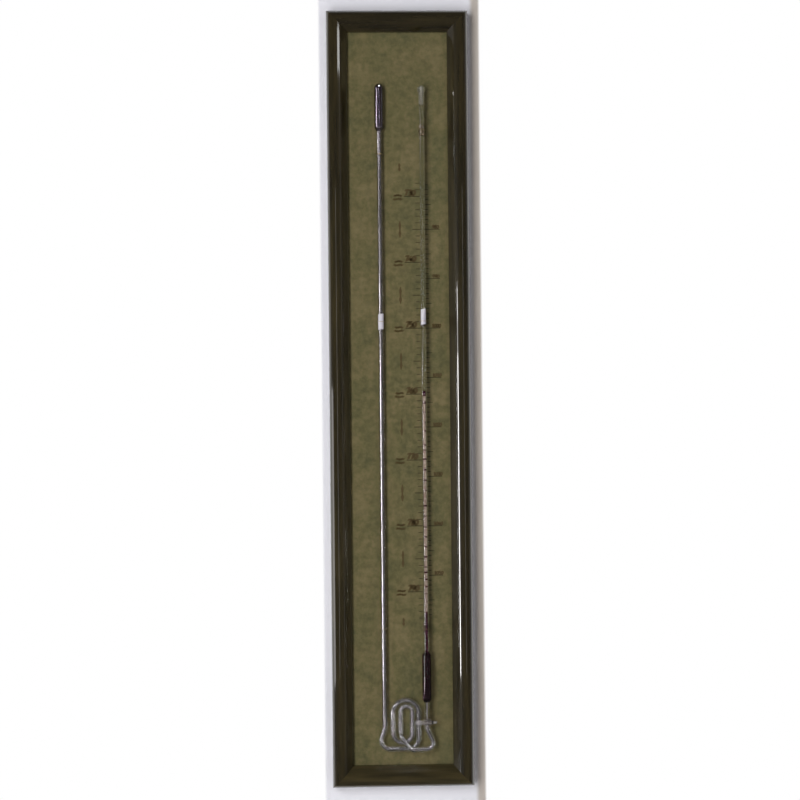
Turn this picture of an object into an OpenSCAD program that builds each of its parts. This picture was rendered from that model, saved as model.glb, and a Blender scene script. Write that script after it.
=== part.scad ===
// Contra barometer: two glass limbs joined by a flat trap coil, on a framed board.
// Front faces -Y, +X is to the right, +Z is up. The origin is the centre of the board's back, on the wall.

/* [Frame] */
// Width of the frame over its outer edges
frame_w = 196; // [186:1:230]
// Height of the frame over its outer edges
frame_h = 1075; // [1066:1:1140]
// Width of the moulding, seen from the front
moulding_w = 28.5; // [26:0.5:32]
// Depth of the moulding at its crest
moulding_d = 30; // [28:0.5:36]
// Distance of the crest from the outer edge, which is also the outer round's radius
crest_u = 10; // [9:0.5:12]
// Radius of the inner round, from the crest to the slope
inner_round_r = 13.5; // [11:0.5:15.5]
// Angle of the slope that runs from the inner round down to the sight edge
inner_slope = 50; // [44:1:54]
// Width of the flat sight edge round the opening
sight_w = 0.5; // [0.3:0.1:1.5]
// Width of the rabbet that holds the board
rabbet_w = 6; // [5:0.5:7]
// Depth of the rabbet, filled by the board and the scale sheet
rabbet_d = 10; // [8:0.5:11]

/* [Board] */
// Thickness of the printed scale sheet
sheet_t = 1; // [0.6:0.1:2]
// Clearance between the board's edge and the rabbet
board_gap = 0.75; // [0.3:0.05:1.5]
// Screws along each long edge of the board
edge_screws = 5; // [3:1:7]
// Distance of the end screws from the corners of the opening
screw_inset = 30; // [20:1:60]

/* [Corner nails] */
// Length of each leg of a corner nail
nail_leg = 7; // [5:0.5:9]
// Thickness of a corner nail
nail_t = 0.8; // [0.6:0.1:1.2]
// Height of a corner nail, driven in from the back
nail_h = 9; // [7:0.5:12]

/* [Hanging plate] */
// Width of the hanging plate
hanger_w = 46; // [42:1:60]
// Height of the hanging plate
hanger_h = 16; // [15:0.5:18]
// Thickness of the hanging plate, let in flush
hanger_t = 1.6; // [1.2:0.1:2.5]
// Diameter of the round end of the keyhole
keyhole_d = 9; // [8:0.5:10]
// Width of the narrow end of the keyhole
keyhole_slot = 4.4; // [4:0.1:5]
// Rise from the round end to the seat of the nail
keyhole_rise = 3; // [2.5:0.5:4]
// Depth of the pocket behind the plate
hanger_pocket = 8; // [6:0.5:12]
// Distance of the plate's screws from its ends
hanger_inset = 6; // [5:0.5:8]

/* [Wood screws] */
// Diameter of a wood screw's shank
screw_d = 2.4; // [2:0.1:2.8]
// Diameter of a wood screw's countersunk head
screw_head_d = 4.6; // [4.2:0.1:4.8]
// Length of a wood screw
screw_l = 15; // [13:0.5:16]

/* [Glass] */
// Outer diameter of the closed limb, the trap and the lower bend
tube_od = 7.4; // [6.4:0.1:7.6]
// Bore of the closed limb
limb_bore = 4.6; // [3:0.1:5.2]
// Bore of the trap, the lower bend and the neck
trap_bore = 3.0; // [1.5:0.1:3]
// Outer diameter of the tube that crosses in front of the trap
crossing_od = 5.8; // [5:0.1:6.2]
// Outer diameter of the reading tube
reading_od = 6.8; // [6:0.1:8]
// Bore of the reading tube
reading_bore = 1.68; // [1.4:0.01:2]
// Outer diameter of both bulbs
bulb_od = 12.6; // [12:0.1:13]
// Bore of both bulbs
bulb_bore = 11; // [9.6:0.1:11.2]
// Length of the closed upper bulb
upper_bulb_l = 65.5; // [50:0.5:80]
// Length of the lower bulb
cistern_l = 69.5; // [55:0.5:80]
// Outer diameter of the widened mouth below the bead
mouth_od = 8; // [7.2:0.1:9]
// Bore of the widened mouth and the bead
mouth_bore = 3; // [2.4:0.1:4]
// Length of the widened mouth
mouth_l = 20; // [10:1:30]
// Diameter of the bead at the open end
bead_d = 11; // [10:0.1:12]

/* [Layout] */
// Height between the mercury levels, which is the column that the air balances
column_h = 790; // [780:1:800]
// Sideways place of the closed limb, left of the centre line
limb_x = -25.6; // [-28:0.2:-23]
// Distance between the two limbs
limb_spacing = 58.6; // [57.4:0.2:61]
// Height of the closed limb and the trap over the scale sheet
limb_rise = 6.8; // [6.8:0.1:8]
// Step forward from the trap to the reading limb
leg_step = 7.2; // [7.1:0.1:9]
// Height of the lowest run of tube over the lower edge of the opening
foot_gap = 23; // [12:0.5:26]
// Length of the neck between the tap and the lower bulb
neck_l = 21.5; // [16:0.5:30]
// Length of the reading tube from the lower bulb to the mouth
reading_l = 755; // [740:1:770]
// Height of the resting reading above the lower bulb
reading_rise = 362; // [300:1:420]

/* [Trap] */
// Width of the outer turn, on its centre line
trap_w = 35.7; // [35.2:0.1:36.4]
// Height of the outer turn over the bottom run, on its centre line
trap_h = 67; // [64:0.5:76]
// Distance between neighbouring turns on the right and at the foot
turn_pitch = 8.7; // [8.4:0.1:9]
// Distance between neighbouring turns on the left
turn_pitch_left = 10.6; // [9.6:0.1:11]
// Distance between neighbouring turns at the top
turn_pitch_top = 8; // [7.8:0.1:9]
// Bend radius where the bottom run rises into the outer turn
rise_r = 15; // [13:0.5:16]
// Lean of the closed limb's foot to the left, in degrees
foot_lean = 20; // [12:1:26]
// Bend radius where the foot leans out
foot_lean_r = 20; // [14:1:24]
// Straight part of the leaning foot
foot_slant = 8; // [4:0.5:10]
// Bend radius where the foot turns into the bottom run
foot_r = 12; // [10:0.5:13]
// Height of the trap's inner end over the bottom run
tail_rise = 22; // [21:0.5:26]
// Slope of the crossing tube below the horizontal, in degrees
crossing_slope = 52; // [48:1:56]
// Bend radius at the lower end of the crossing tube
crossing_r = 6; // [5:0.5:7]

/* [Lower bend] */
// How far the lower bend bulges out past the reading limb
bend_out = 8; // [7:0.5:10]
// Lean of the lower bend towards the tap, in degrees
bend_lean = 25; // [20:1:30]
// Radius of the lower corner
bend_r = 9; // [8:0.5:10]
// Bend radius under the tap
bend_top_r = 12; // [10:0.5:14]

/* [Tap] */
// Outer diameter of the tap's barrel
barrel_d = 10.2; // [9.4:0.1:11.6]
// Length of the tap's barrel
barrel_l = 11; // [9:0.5:12]
// Diameter of the key's plug at its wide left end
key_wide_d = 5.5; // [5:0.1:6]
// Diameter of the key's plug at its narrow right end
key_narrow_d = 4.7; // [4.4:0.1:4.9]
// Radial clearance of the key in its barrel
key_gap = 0.05; // [0.02:0.01:0.1]
// Diameter of the key's grip
grip_d = 6.2; // [5.8:0.1:6.2]
// Length of the key's grip
grip_l = 11; // [8:0.5:12]
// Thickness of the flattened part of the grip
grip_t = 3.4; // [2.6:0.1:4.4]
// Length of the key's tail past the barrel
tail_l = 8; // [6.5:0.5:9]
// Thickness of the retaining ring
ring_t = 1.4; // [1:0.1:2]
// Outer diameter of the retaining ring
ring_d = 6.2; // [5.8:0.1:7]

/* [Supports] */
// Distance of the upper and lower ties from the bulbs and the mouth
tie_inset = 32; // [26:1:40]
// Height of the middle ties over the centre of the board
tie_mid_z = 107; // [60:1:140]
// Width of a saddle, hidden behind its tube
saddle_w = 6.4; // [5.4:0.1:6.6]
// Height of a saddle
saddle_h = 14; // [10:1:20]
// Diameter of the tie wire
wire_d = 0.5; // [0.4:0.05:0.7]
// Bend radius of the tie wire behind the board
wire_r = 1; // [0.8:0.1:1.5]
// Length of each turned-over end of a tie
wire_end = 4; // [3:0.5:6]

/* [Liquids] */
// Clearance between a resting liquid and the glass
liquid_gap = 0.03; // [0.02:0.01:0.05]
// Radial clearance of a moving level in its bulb
level_gap = 0.1; // [0.05:0.01:0.1]
// Radial clearance of the moving reading in its tube
reading_gap = 0.05; // [0.03:0.01:0.08]
// Height of a moving mercury level
level_h = 4; // [3:0.5:6]
// Height of the moving reading
reading_h = 5; // [4:0.5:8]

/* [Hidden] */
$fn = 96;

wood_colour = "#2b2614";
sheet_colour = "#5e5a38";
board_colour = "#9a7f55";
steel_colour = "#8f9296";
brass_colour = "#a98b48";
cork_colour = "#5a4a30";
glass_colour = [0.78, 0.84, 0.8, 0.4];
mercury_colour = "#b9b8c0";
liquid_colour = "#45203f";
rubber_colour = "#3a3530";
cut = 1;
fit_gap = 0.05;
weld_gap = 0.2;
weld_bulge = 0.05;

// Opening, board and the planes that the glass lies in
opening_w = frame_w - 2 * moulding_w;
opening_h = frame_h - 2 * moulding_w;
board_w = opening_w + 2 * (rabbet_w - board_gap);
board_h = opening_h + 2 * (rabbet_w - board_gap);
board_t = rabbet_d - sheet_t;
sheet_y = -rabbet_d;
limb_y = sheet_y - limb_rise;
leg_y = limb_y - leg_step;

// The trap, from the bottom run up
reading_x = limb_x + limb_spacing;
run_z = -opening_h / 2 + foot_gap;
turn_left = limb_x + (limb_spacing - trap_w) / 2;
turn_right = turn_left + trap_w;
inner_left = turn_left + turn_pitch_left;
inner_right = turn_right - turn_pitch;
turn_top = run_z + trap_h;
inner_top = turn_top - turn_pitch_top;
inner_foot = run_z + turn_pitch;
outer_r = trap_w / 2;
foot_inner_r = (inner_right - turn_left) / 2;
inner_r = (inner_right - inner_left) / 2;
limb_foot_z = run_z + foot_lean_r * sin(foot_lean) + foot_slant * cos(foot_lean)
    + foot_r * (1 + sin(foot_lean));
run_start_x = limb_x - foot_lean_r * (1 - cos(foot_lean)) - foot_slant * sin(foot_lean)
    + foot_r * cos(foot_lean);

// Every route is a list of steps: straight length, bend radius, bend angle, roll before the bend
foot_lean_bend = [0, foot_lean_r, foot_lean, 0];
foot_turn_bend = [foot_slant, foot_r, 90 + foot_lean, 180];
trap_route = [
    [turn_right - rise_r - run_start_x, rise_r, 90, 180],
    [turn_top - outer_r - run_z - rise_r, outer_r, 180, 0],
    [turn_top - outer_r - inner_foot - foot_inner_r, foot_inner_r, 180, 0],
    [inner_top - inner_r - inner_foot - foot_inner_r, inner_r, 180, 0],
    [inner_top - inner_r - run_z - tail_rise, 0, 0, 0]
];

// The crossing tube turns to the front, then down its slope, then level
crossing_turn_r = leg_step / 2;
slope_top_z = run_z + tail_rise - crossing_turn_r * (1 + sin(crossing_slope));
slope_l = (slope_top_z - run_z - crossing_r * (1 - cos(crossing_slope))) / sin(crossing_slope);
crossing_end_x = inner_left + (crossing_turn_r + slope_l) * cos(crossing_slope)
    + crossing_r * sin(crossing_slope);
crossing_route = [
    [0, crossing_turn_r, 90, -90],
    [0, crossing_turn_r, 90, -(90 + crossing_slope)],
    [slope_l, crossing_r, crossing_slope, 90]
];

// The lower bend runs level, turns its corner and leans back to the tap
bend_start_x = reading_x + bend_out - bend_r;
bend_slant = (bend_start_x + bend_r * cos(bend_lean) - bend_top_r * (1 - cos(bend_lean)) - reading_x)
    / sin(bend_lean);
corner_bend = [bend_start_x - crossing_end_x, bend_r, 90 + bend_lean, 0];
rise_bend = [bend_slant, bend_top_r, bend_lean, 180];
bend_top_z = run_z + bend_r * (1 + sin(bend_lean)) + bend_slant * cos(bend_lean)
    + bend_top_r * sin(bend_lean);

// The reading limb, from the tap up
stub_l = barrel_d / 2 + 1.4;
tap_z = bend_top_z + stub_l;
cistern_z = tap_z + stub_l + neck_l;
cistern_mid = cistern_z + cistern_l / 2;
cistern_top = cistern_z + cistern_l;
upper_mid = cistern_mid + column_h;
upper_top = upper_mid + upper_bulb_l / 2;
upper_foot = upper_mid - upper_bulb_l / 2;
mouth_z = cistern_top + reading_l;
bead_z = mouth_z + mouth_l + bead_d / 3;
reading_z = cistern_top + reading_rise;

// The bulbs' throats, the tap's groove and grip, and the liquids
bulb_wall = (bulb_od - bulb_bore) / 2;
bulb_throat = sqrt(pow(bulb_bore / 2, 2) - pow(limb_bore / 2, 2));
seat_z = cistern_top - bulb_od / 2 + sqrt(pow(bulb_bore / 2, 2) - pow(reading_od / 2, 2));
tail_d = key_narrow_d - 0.3;
groove_d = tail_d - 0.8;
groove_x = barrel_l / 2 + 1.2;
grip_x = -barrel_l / 2 - 0.6;
thread_d = trap_bore - 2 * liquid_gap;
fill_r = bulb_bore / 2 - liquid_gap;
upper_level_z = upper_mid - level_h / 2;
cistern_level_z = cistern_mid - level_h / 2;

// Top of the moulding's slope and the sight edge below it
slope_u = crest_u + inner_round_r * sin(inner_slope);
slope_v = moulding_d - inner_round_r * (1 - cos(inner_slope));
sight_d = slope_v - (moulding_w - sight_w - slope_u) * tan(inner_slope);

// Places of the fastenings
screw_x = opening_w / 2 + (rabbet_w - board_gap) / 2;
screw_span = opening_h - 2 * screw_inset;
screw_zs = [for (i = [0 : edge_screws - 1]) screw_span * (i / (edge_screws - 1) - 0.5)];
nail_u = crest_u;
hanger_z = frame_h / 2 - (moulding_w - rabbet_w) / 2;
keyhole_z = hanger_z - keyhole_rise / 2;
hanger_screw_x = hanger_w / 2 - hanger_inset;
hanger_screw_l = screw_l + 3;
limb_tie_zs = [upper_foot - tie_inset, tie_mid_z, cistern_top + tie_inset];
reading_tie_zs = [mouth_z - tie_inset, tie_mid_z, cistern_top + tie_inset];

// A tube, or a solid thread where bore is 0, that follows a route from the origin along +Z
module tube_ring(od, bore) {
    difference() {
        circle(d = od);
        if (bore > 0) circle(d = bore);
    }
}

module tube_route(route, od, bore, i = 0) {
    if (i < len(route)) {
        run_l = route[i][0];
        bend_radius = route[i][1];
        bend_angle = route[i][2];
        if (run_l > 0) linear_extrude(run_l) tube_ring(od, bore);
        translate([0, 0, run_l]) rotate([0, 0, route[i][3]]) {
            if (bend_angle > 0) {
                translate([bend_radius, 0, 0]) rotate([90, 0, 180])
                    rotate_extrude(angle = bend_angle) translate([bend_radius, 0]) tube_ring(od, bore);
            }
            translate([bend_radius, 0, 0]) rotate([0, bend_angle, 0]) translate([-bend_radius, 0, 0])
                tube_route(route, od, bore, i + 1);
        }
    }
}

// Two bends with a straight length between them, melted together by a small bead after the first bend
module welded_bends(first, second, d) {
    trim = weld_gap / 2 / first[1] * 180 / PI;
    rest = [second[0] - weld_gap / 2, second[1], second[2], second[3]];
    translate([0, 0, first[0]]) rotate([0, 0, first[3]]) {
        translate([first[1], 0, 0]) rotate([90, 0, 180])
            rotate_extrude(angle = first[2] - trim) translate([first[1], 0]) circle(d = d);
        translate([first[1], 0, 0]) rotate([0, first[2], 0]) translate([-first[1], 0, 0]) {
            sphere(d = d + 2 * weld_bulge);
            translate([0, 0, weld_gap / 2]) tube_route([rest], d, 0);
        }
    }
    if (first[0] > 0) cylinder(d = d, h = first[0]);
}

// Frame: half section of the moulding, u from the outer edge inwards, v from the wall forwards
module moulding_section() {
    round_v = moulding_d - inner_round_r;
    difference() {
        union() {
            square([crest_u, moulding_d - crest_u]);
            intersection() {
                translate([crest_u, moulding_d - crest_u]) circle(r = crest_u);
                square([crest_u, moulding_d]);
            }
            intersection() {
                translate([crest_u, moulding_d - inner_round_r]) circle(r = inner_round_r);
                translate([crest_u, round_v]) square([slope_u - crest_u, moulding_d - round_v]);
            }
            polygon([[crest_u, 0], [moulding_w, 0], [moulding_w, sight_d], [moulding_w - sight_w, sight_d],
                [slope_u, slope_v], [slope_u, round_v], [crest_u, round_v]]);
        }
        translate([moulding_w - rabbet_w, -cut]) square([rabbet_w + cut, rabbet_d + cut]);
    }
}

// A mitred length of moulding, upright, with its outer edge on x = 0
module mitred_bar(length) {
    reach = moulding_w + cut;
    difference() {
        translate([0, 0, -length / 2]) linear_extrude(length) mirror([0, 1]) moulding_section();
        for (end = [0, 1]) mirror([0, 0, end])
            translate([0, cut, 0]) rotate([90, 0, 0]) linear_extrude(moulding_d + 2 * cut)
                polygon([[-cut, length / 2 + cut], [reach, length / 2 - reach], [reach, length / 2 + 2 * cut],
                    [-cut, length / 2 + 2 * cut]]);
    }
}

module corner_nail(gap) {
    top = gap > 0 ? cut : -0.2;
    for (turn = [0, 1]) rotate([0, turn * 90, 0])
        translate([-nail_t / 2 - gap, -nail_h - gap, -nail_t / 2 - gap])
            cube([nail_leg + nail_t / 2 + 2 * gap, nail_h + gap + top, nail_t + 2 * gap]);
}

module all_corner_nails(gap) {
    for (sx = [0, 1], sz = [0, 1]) mirror([sx, 0, 0]) mirror([0, 0, sz])
        translate([-frame_w / 2 + nail_u, 0, frame_h / 2 - nail_u]) corner_nail(gap);
}

// A countersunk wood screw, driven in along -Y from a surface at y = 0
module wood_screw(length, gap) {
    head_h = (screw_head_d - screw_d) / 2;
    rim = 0.4;
    tip_d = 0.6;
    tip_h = 1.6;
    top = gap > 0 ? -cut : 0.1;
    rotate([90, 0, 0]) {
        translate([0, 0, top]) cylinder(d = screw_head_d + 2 * gap, h = rim - top);
        translate([0, 0, rim]) cylinder(d1 = screw_head_d + 2 * gap, d2 = screw_d + 2 * gap, h = head_h);
        translate([0, 0, rim]) cylinder(d = screw_d + 2 * gap, h = length - rim - tip_h + gap);
        translate([0, 0, length - tip_h + gap]) cylinder(d1 = screw_d + 2 * gap, d2 = tip_d, h = tip_h);
    }
}

module all_board_screws(gap) {
    for (side = [-1, 1], z = screw_zs) translate([side * screw_x, 0, z]) wood_screw(screw_l, gap);
}

module all_hanger_screws(gap) {
    for (side = [-1, 1]) translate([side * hanger_screw_x, 0, hanger_z]) wood_screw(hanger_screw_l, gap);
}

module frame_stile_left() {
    color(wood_colour) difference() {
        translate([-frame_w / 2, 0, 0]) mitred_bar(frame_h);
        all_corner_nails(fit_gap);
        all_board_screws(fit_gap);
    }
}

module frame_stile_right() {
    color(wood_colour) difference() {
        translate([frame_w / 2, 0, 0]) mirror([1, 0, 0]) mitred_bar(frame_h);
        all_corner_nails(fit_gap);
        all_board_screws(fit_gap);
    }
}

module frame_rail_top() {
    color(wood_colour) difference() {
        translate([0, 0, frame_h / 2]) rotate([0, 90, 0]) mitred_bar(frame_w);
        all_corner_nails(fit_gap);
        all_hanger_screws(fit_gap);
        translate([-hanger_w / 2 - fit_gap, -hanger_t - fit_gap, hanger_z - hanger_h / 2 - fit_gap])
            cube([hanger_w + 2 * fit_gap, hanger_t + fit_gap + cut, hanger_h + 2 * fit_gap]);
        translate([-keyhole_d / 2 - 1, -hanger_t - hanger_pocket, keyhole_z - keyhole_d / 2 - 1])
            cube([keyhole_d + 2, hanger_pocket + cut, keyhole_d + keyhole_rise + 2]);
    }
}

module frame_rail_bottom() {
    color(wood_colour) difference() {
        translate([0, 0, -frame_h / 2]) mirror([0, 0, 1]) rotate([0, 90, 0]) mitred_bar(frame_w);
        all_corner_nails(fit_gap);
    }
}

module corner_nails() {
    color(steel_colour) all_corner_nails(0);
}

// The board carries the glass: the ties pass through it and lie in pockets cut in its back
module tie_holes() {
    for (z = limb_tie_zs, side = [-1, 1])
        translate([limb_x + side * tie_leg(tube_od), cut, z]) rotate([90, 0, 0])
            cylinder(d = wire_d + 1, h = rabbet_d + 2 * cut);
    for (z = reading_tie_zs, side = [-1, 1])
        translate([reading_x + side * tie_leg(reading_od), cut, z]) rotate([90, 0, 0])
            cylinder(d = wire_d + 1, h = rabbet_d + 2 * cut);
}

module tie_pocket(od) {
    reach = tie_leg(od) + wire_r + wire_end + 1;
    deep = wire_d + 1.5;
    high = 2 * wire_d + 1.4;
    translate([-reach, -deep, -high / 2]) cube([2 * reach, deep + cut, high]);
}

module backing_board() {
    color(board_colour) difference() {
        translate([-board_w / 2, -board_t, -board_h / 2]) cube([board_w, board_t, board_h]);
        all_board_screws(fit_gap);
        tie_holes();
        for (z = limb_tie_zs) translate([limb_x, 0, z]) tie_pocket(tube_od);
        for (z = reading_tie_zs) translate([reading_x, 0, z]) tie_pocket(reading_od);
    }
}

module scale_sheet() {
    color(sheet_colour) difference() {
        translate([-board_w / 2, -rabbet_d, -board_h / 2]) cube([board_w, sheet_t, board_h]);
        all_board_screws(fit_gap);
        tie_holes();
    }
}

module board_screws() {
    color(brass_colour) all_board_screws(0);
}

module keyhole() {
    slot_top = keyhole_d / 2 + keyhole_rise - keyhole_slot / 2;
    translate([0, cut, keyhole_z]) rotate([90, 0, 0]) linear_extrude(hanger_t + 2 * cut) {
        circle(d = keyhole_d);
        translate([-keyhole_slot / 2, 0]) square([keyhole_slot, slot_top]);
        translate([0, slot_top]) circle(d = keyhole_slot);
    }
}

module hanging_plate() {
    color(steel_colour) difference() {
        translate([-hanger_w / 2, -hanger_t, hanger_z - hanger_h / 2]) cube([hanger_w, hanger_t, hanger_h]);
        keyhole();
        all_hanger_screws(fit_gap);
    }
}

module hanging_plate_screws() {
    color(steel_colour) all_hanger_screws(0);
}

// Glass: half sections of the bulbs and necks are turned about the tube's own axis
module bulb_section(d, foot, length) {
    intersection() {
        union() {
            translate([-d / 2, foot + d / 2]) square([d, length - d]);
            translate([0, foot + d / 2]) circle(d = d);
            translate([0, foot + length - d / 2]) circle(d = d);
        }
        translate([0, foot - cut]) square([d, length + 2 * cut]);
    }
}

module neck_section(d, from, to) {
    translate([0, from]) square([d / 2, to - from]);
}

module closed_limb() {
    color(glass_colour) translate([limb_x, limb_y, 0]) rotate_extrude() difference() {
        union() {
            bulb_section(bulb_od, upper_foot, upper_bulb_l);
            neck_section(tube_od, limb_foot_z, upper_foot + bulb_od / 2);
        }
        bulb_section(bulb_bore, upper_foot + bulb_wall, upper_bulb_l - 2 * bulb_wall);
        neck_section(limb_bore, limb_foot_z - cut, upper_foot + bulb_od / 2);
    }
}

module at_limb_foot() {
    translate([limb_x, limb_y, limb_foot_z]) rotate([0, 180, 0]) children();
}

module at_run_start() {
    translate([run_start_x, limb_y, run_z]) rotate([0, 90, 0]) children();
}

module at_trap_end() {
    translate([inner_left, limb_y, run_z + tail_rise]) rotate([0, 180, 0]) children();
}

module at_crossing_end() {
    translate([crossing_end_x, leg_y, run_z]) rotate([0, 90, 0]) rotate([0, 0, 180]) children();
}

module limb_foot() {
    color(glass_colour) at_limb_foot() difference() {
        welded_bends(foot_lean_bend, foot_turn_bend, tube_od);
        welded_bends(foot_lean_bend, foot_turn_bend, trap_bore);
    }
}

module trap_coil() {
    color(glass_colour) at_run_start() tube_route(trap_route, tube_od, trap_bore);
}

module crossing_tube() {
    color(glass_colour) at_trap_end() tube_route(crossing_route, crossing_od, trap_bore);
}

module lower_bend() {
    color(glass_colour) at_crossing_end() difference() {
        welded_bends(corner_bend, rise_bend, tube_od);
        welded_bends(corner_bend, rise_bend, trap_bore);
    }
}

module cistern() {
    color(glass_colour) translate([reading_x, leg_y, 0]) rotate_extrude() difference() {
        union() {
            bulb_section(bulb_od, cistern_z, cistern_l);
            neck_section(tube_od, cistern_z - neck_l, cistern_z + bulb_od / 2);
        }
        bulb_section(bulb_bore, cistern_z + bulb_wall, cistern_l - 2 * bulb_wall);
        neck_section(trap_bore, cistern_z - neck_l - cut, cistern_z + bulb_od / 2);
        neck_section(reading_od, cistern_top - bulb_od / 2, cistern_top + cut);
    }
}

module reading_tube() {
    color(glass_colour) translate([reading_x, leg_y, 0]) rotate_extrude() difference() {
        union() {
            neck_section(reading_od, seat_z, mouth_z + cut);
            neck_section(mouth_od, mouth_z, mouth_z + mouth_l + cut);
            intersection() {
                translate([0, bead_z]) circle(d = bead_d);
                translate([0, bead_z - bead_d]) square([bead_d, 2 * bead_d]);
            }
        }
        neck_section(reading_bore, seat_z - cut, mouth_z + cut);
        neck_section(mouth_bore, mouth_z + cut, bead_z + bead_d);
    }
}

// Tap: a tapered key turns in a short barrel across the reading limb
module at_tap() {
    translate([reading_x, leg_y, tap_z]) children();
}

module plug(gap, reach) {
    taper = (key_wide_d - key_narrow_d) / 2 / barrel_l;
    half = barrel_l / 2 + reach;
    wide_r = key_wide_d / 2 + taper * reach + gap;
    narrow_r = key_narrow_d / 2 - taper * reach + gap;
    translate([-half, 0, 0]) rotate([0, 90, 0]) cylinder(r1 = wide_r, r2 = narrow_r, h = 2 * half);
}

module tap_barrel() {
    color(glass_colour) at_tap() difference() {
        union() {
            translate([-barrel_l / 2, 0, 0]) rotate([0, 90, 0]) cylinder(d = barrel_d, h = barrel_l);
            translate([0, 0, -stub_l]) cylinder(d = tube_od, h = 2 * stub_l);
        }
        plug(key_gap, cut);
        translate([0, 0, -stub_l - cut]) cylinder(d = trap_bore, h = 2 * (stub_l + cut));
    }
}

module tap_key() {
    color(glass_colour) at_tap() difference() {
        union() {
            plug(0, 0.6);
            translate([grip_x - 3, 0, 0]) rotate([0, 90, 0]) cylinder(d = grip_d, h = 3);
            intersection() {
                translate([grip_x - grip_l, 0, 0]) rotate([0, 90, 0]) cylinder(d = grip_d, h = grip_l);
                translate([grip_x - grip_l, -grip_t / 2, -grip_d / 2]) cube([grip_l - 2, grip_t, grip_d]);
                translate([grip_x - grip_l + grip_d, 0, 0]) rotate([90, 0, 0])
                    linear_extrude(grip_d, center = true) {
                        translate([-grip_d / 2, 0]) circle(d = grip_d);
                        translate([-grip_d / 2, -grip_d / 2]) square([grip_l, grip_d]);
                    }
            }
            translate([barrel_l / 2, 0, 0]) rotate([0, 90, 0]) cylinder(d = groove_d, h = tail_l);
            translate([groove_x + ring_t + 0.2, 0, 0]) rotate([0, 90, 0])
                cylinder(d1 = tail_d, d2 = groove_d - 0.6, h = tail_l - ring_t - 1.4);
        }
        cylinder(d = trap_bore, h = grip_d + cut, center = true);
    }
}

module tap_ring() {
    color(rubber_colour) at_tap() translate([groove_x, 0, 0]) rotate([0, 90, 0])
        linear_extrude(ring_t) tube_ring(ring_d, groove_d + 2 * fit_gap);
}

// Saddles and wire ties hold both limbs on the board
function tie_leg(od) = od / 2 + wire_d / 2 + 0.15;

module saddle(od, axis_y) {
    wrap = od / 4;
    deep = sheet_y - axis_y - wrap;
    difference() {
        translate([-saddle_w / 2, axis_y + wrap, -saddle_h / 2]) cube([saddle_w, deep, saddle_h]);
        translate([0, axis_y, 0]) cylinder(d = od + 2 * fit_gap, h = saddle_h + 2 * cut, center = true);
    }
}

module tie(od, axis_y) {
    leg = tie_leg(od);
    back_y = -wire_d / 2 - 0.9;
    route = [
        [wire_end, wire_r, 90, 0],
        [back_y - axis_y - wire_r, leg, 180, 180],
        [back_y - axis_y - wire_r, wire_r, 90, 180],
        [wire_end, 0, 0, 0]
    ];
    translate([-leg - wire_r - wire_end, back_y, 0]) rotate([0, 90, 0]) rotate([0, 0, -90])
        tube_route(route, wire_d, 0);
}

module limb_saddles() {
    color(cork_colour) for (z = limb_tie_zs) translate([limb_x, 0, z]) saddle(tube_od, limb_y);
}

module reading_saddles() {
    color(cork_colour) for (z = reading_tie_zs) translate([reading_x, 0, z]) saddle(reading_od, leg_y);
}

module limb_ties() {
    color(brass_colour) for (z = limb_tie_zs) translate([limb_x, 0, z]) tie(tube_od, limb_y);
}

module reading_ties() {
    color(brass_colour) for (z = reading_tie_zs) translate([reading_x, 0, z]) tie(reading_od, leg_y);
}

// Liquids: threads that stay still, fills that change height and levels that move
module mercury_limb() {
    color(mercury_colour) translate([limb_x, limb_y, limb_foot_z])
        cylinder(d = limb_bore - 2 * liquid_gap, h = upper_foot + bulb_od / 2 - bulb_throat - limb_foot_z);
}

module mercury_foot() {
    color(mercury_colour) at_limb_foot() welded_bends(foot_lean_bend, foot_turn_bend, thread_d);
}

module mercury_trap() {
    color(mercury_colour) at_run_start() tube_route(trap_route, thread_d, 0);
}

module mercury_crossing() {
    color(mercury_colour) at_trap_end() tube_route(crossing_route, thread_d, 0);
}

module mercury_bend() {
    color(mercury_colour) at_crossing_end() welded_bends(corner_bend, rise_bend, thread_d);
}

module mercury_inlet() {
    color(mercury_colour) translate([reading_x, leg_y, bend_top_z])
        cylinder(d = thread_d, h = stub_l - key_wide_d / 2 - key_gap);
}

module mercury_key() {
    color(mercury_colour) at_tap()
        cylinder(d = thread_d, h = sqrt(pow(key_narrow_d, 2) - pow(thread_d, 2)), center = true);
}

module mercury_neck() {
    color(mercury_colour) translate([reading_x, leg_y, tap_z + key_wide_d / 2 + key_gap])
        cylinder(d = thread_d, h = cistern_z + bulb_wall - tap_z - key_wide_d / 2 - key_gap);
}

module fill_section(foot, top, from, to) {
    inset = bulb_wall + liquid_gap;
    intersection() {
        bulb_section(2 * fill_r, foot + inset, top - foot - 2 * inset);
        translate([0, from]) square([fill_r, to - from]);
    }
}

module mercury_upper() {
    fill_foot = upper_foot + bulb_od / 2 - bulb_throat + liquid_gap;
    color(mercury_colour) translate([limb_x, limb_y, 0]) rotate_extrude()
        fill_section(upper_foot, upper_top, fill_foot, upper_level_z);
}

module level_disc(z) {
    level_r = bulb_bore / 2 - level_gap;
    crown = 1;
    crown_r = (level_r * level_r + crown * crown) / (2 * crown);
    translate([0, 0, z]) rotate_extrude() {
        square([level_r, level_h - crown]);
        intersection() {
            translate([0, level_h - crown_r]) circle(r = crown_r, $fn = 360);
            translate([0, level_h - crown]) square([level_r, crown]);
        }
    }
}

module mercury_upper_level() {
    color(mercury_colour) translate([limb_x, limb_y, 0]) level_disc(upper_level_z);
}

module mercury_cistern() {
    color(mercury_colour) translate([reading_x, leg_y, 0]) rotate_extrude()
        fill_section(cistern_z, cistern_top, cistern_z, cistern_level_z);
}

module mercury_cistern_level() {
    color(mercury_colour) translate([reading_x, leg_y, 0]) level_disc(cistern_level_z);
}

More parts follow.
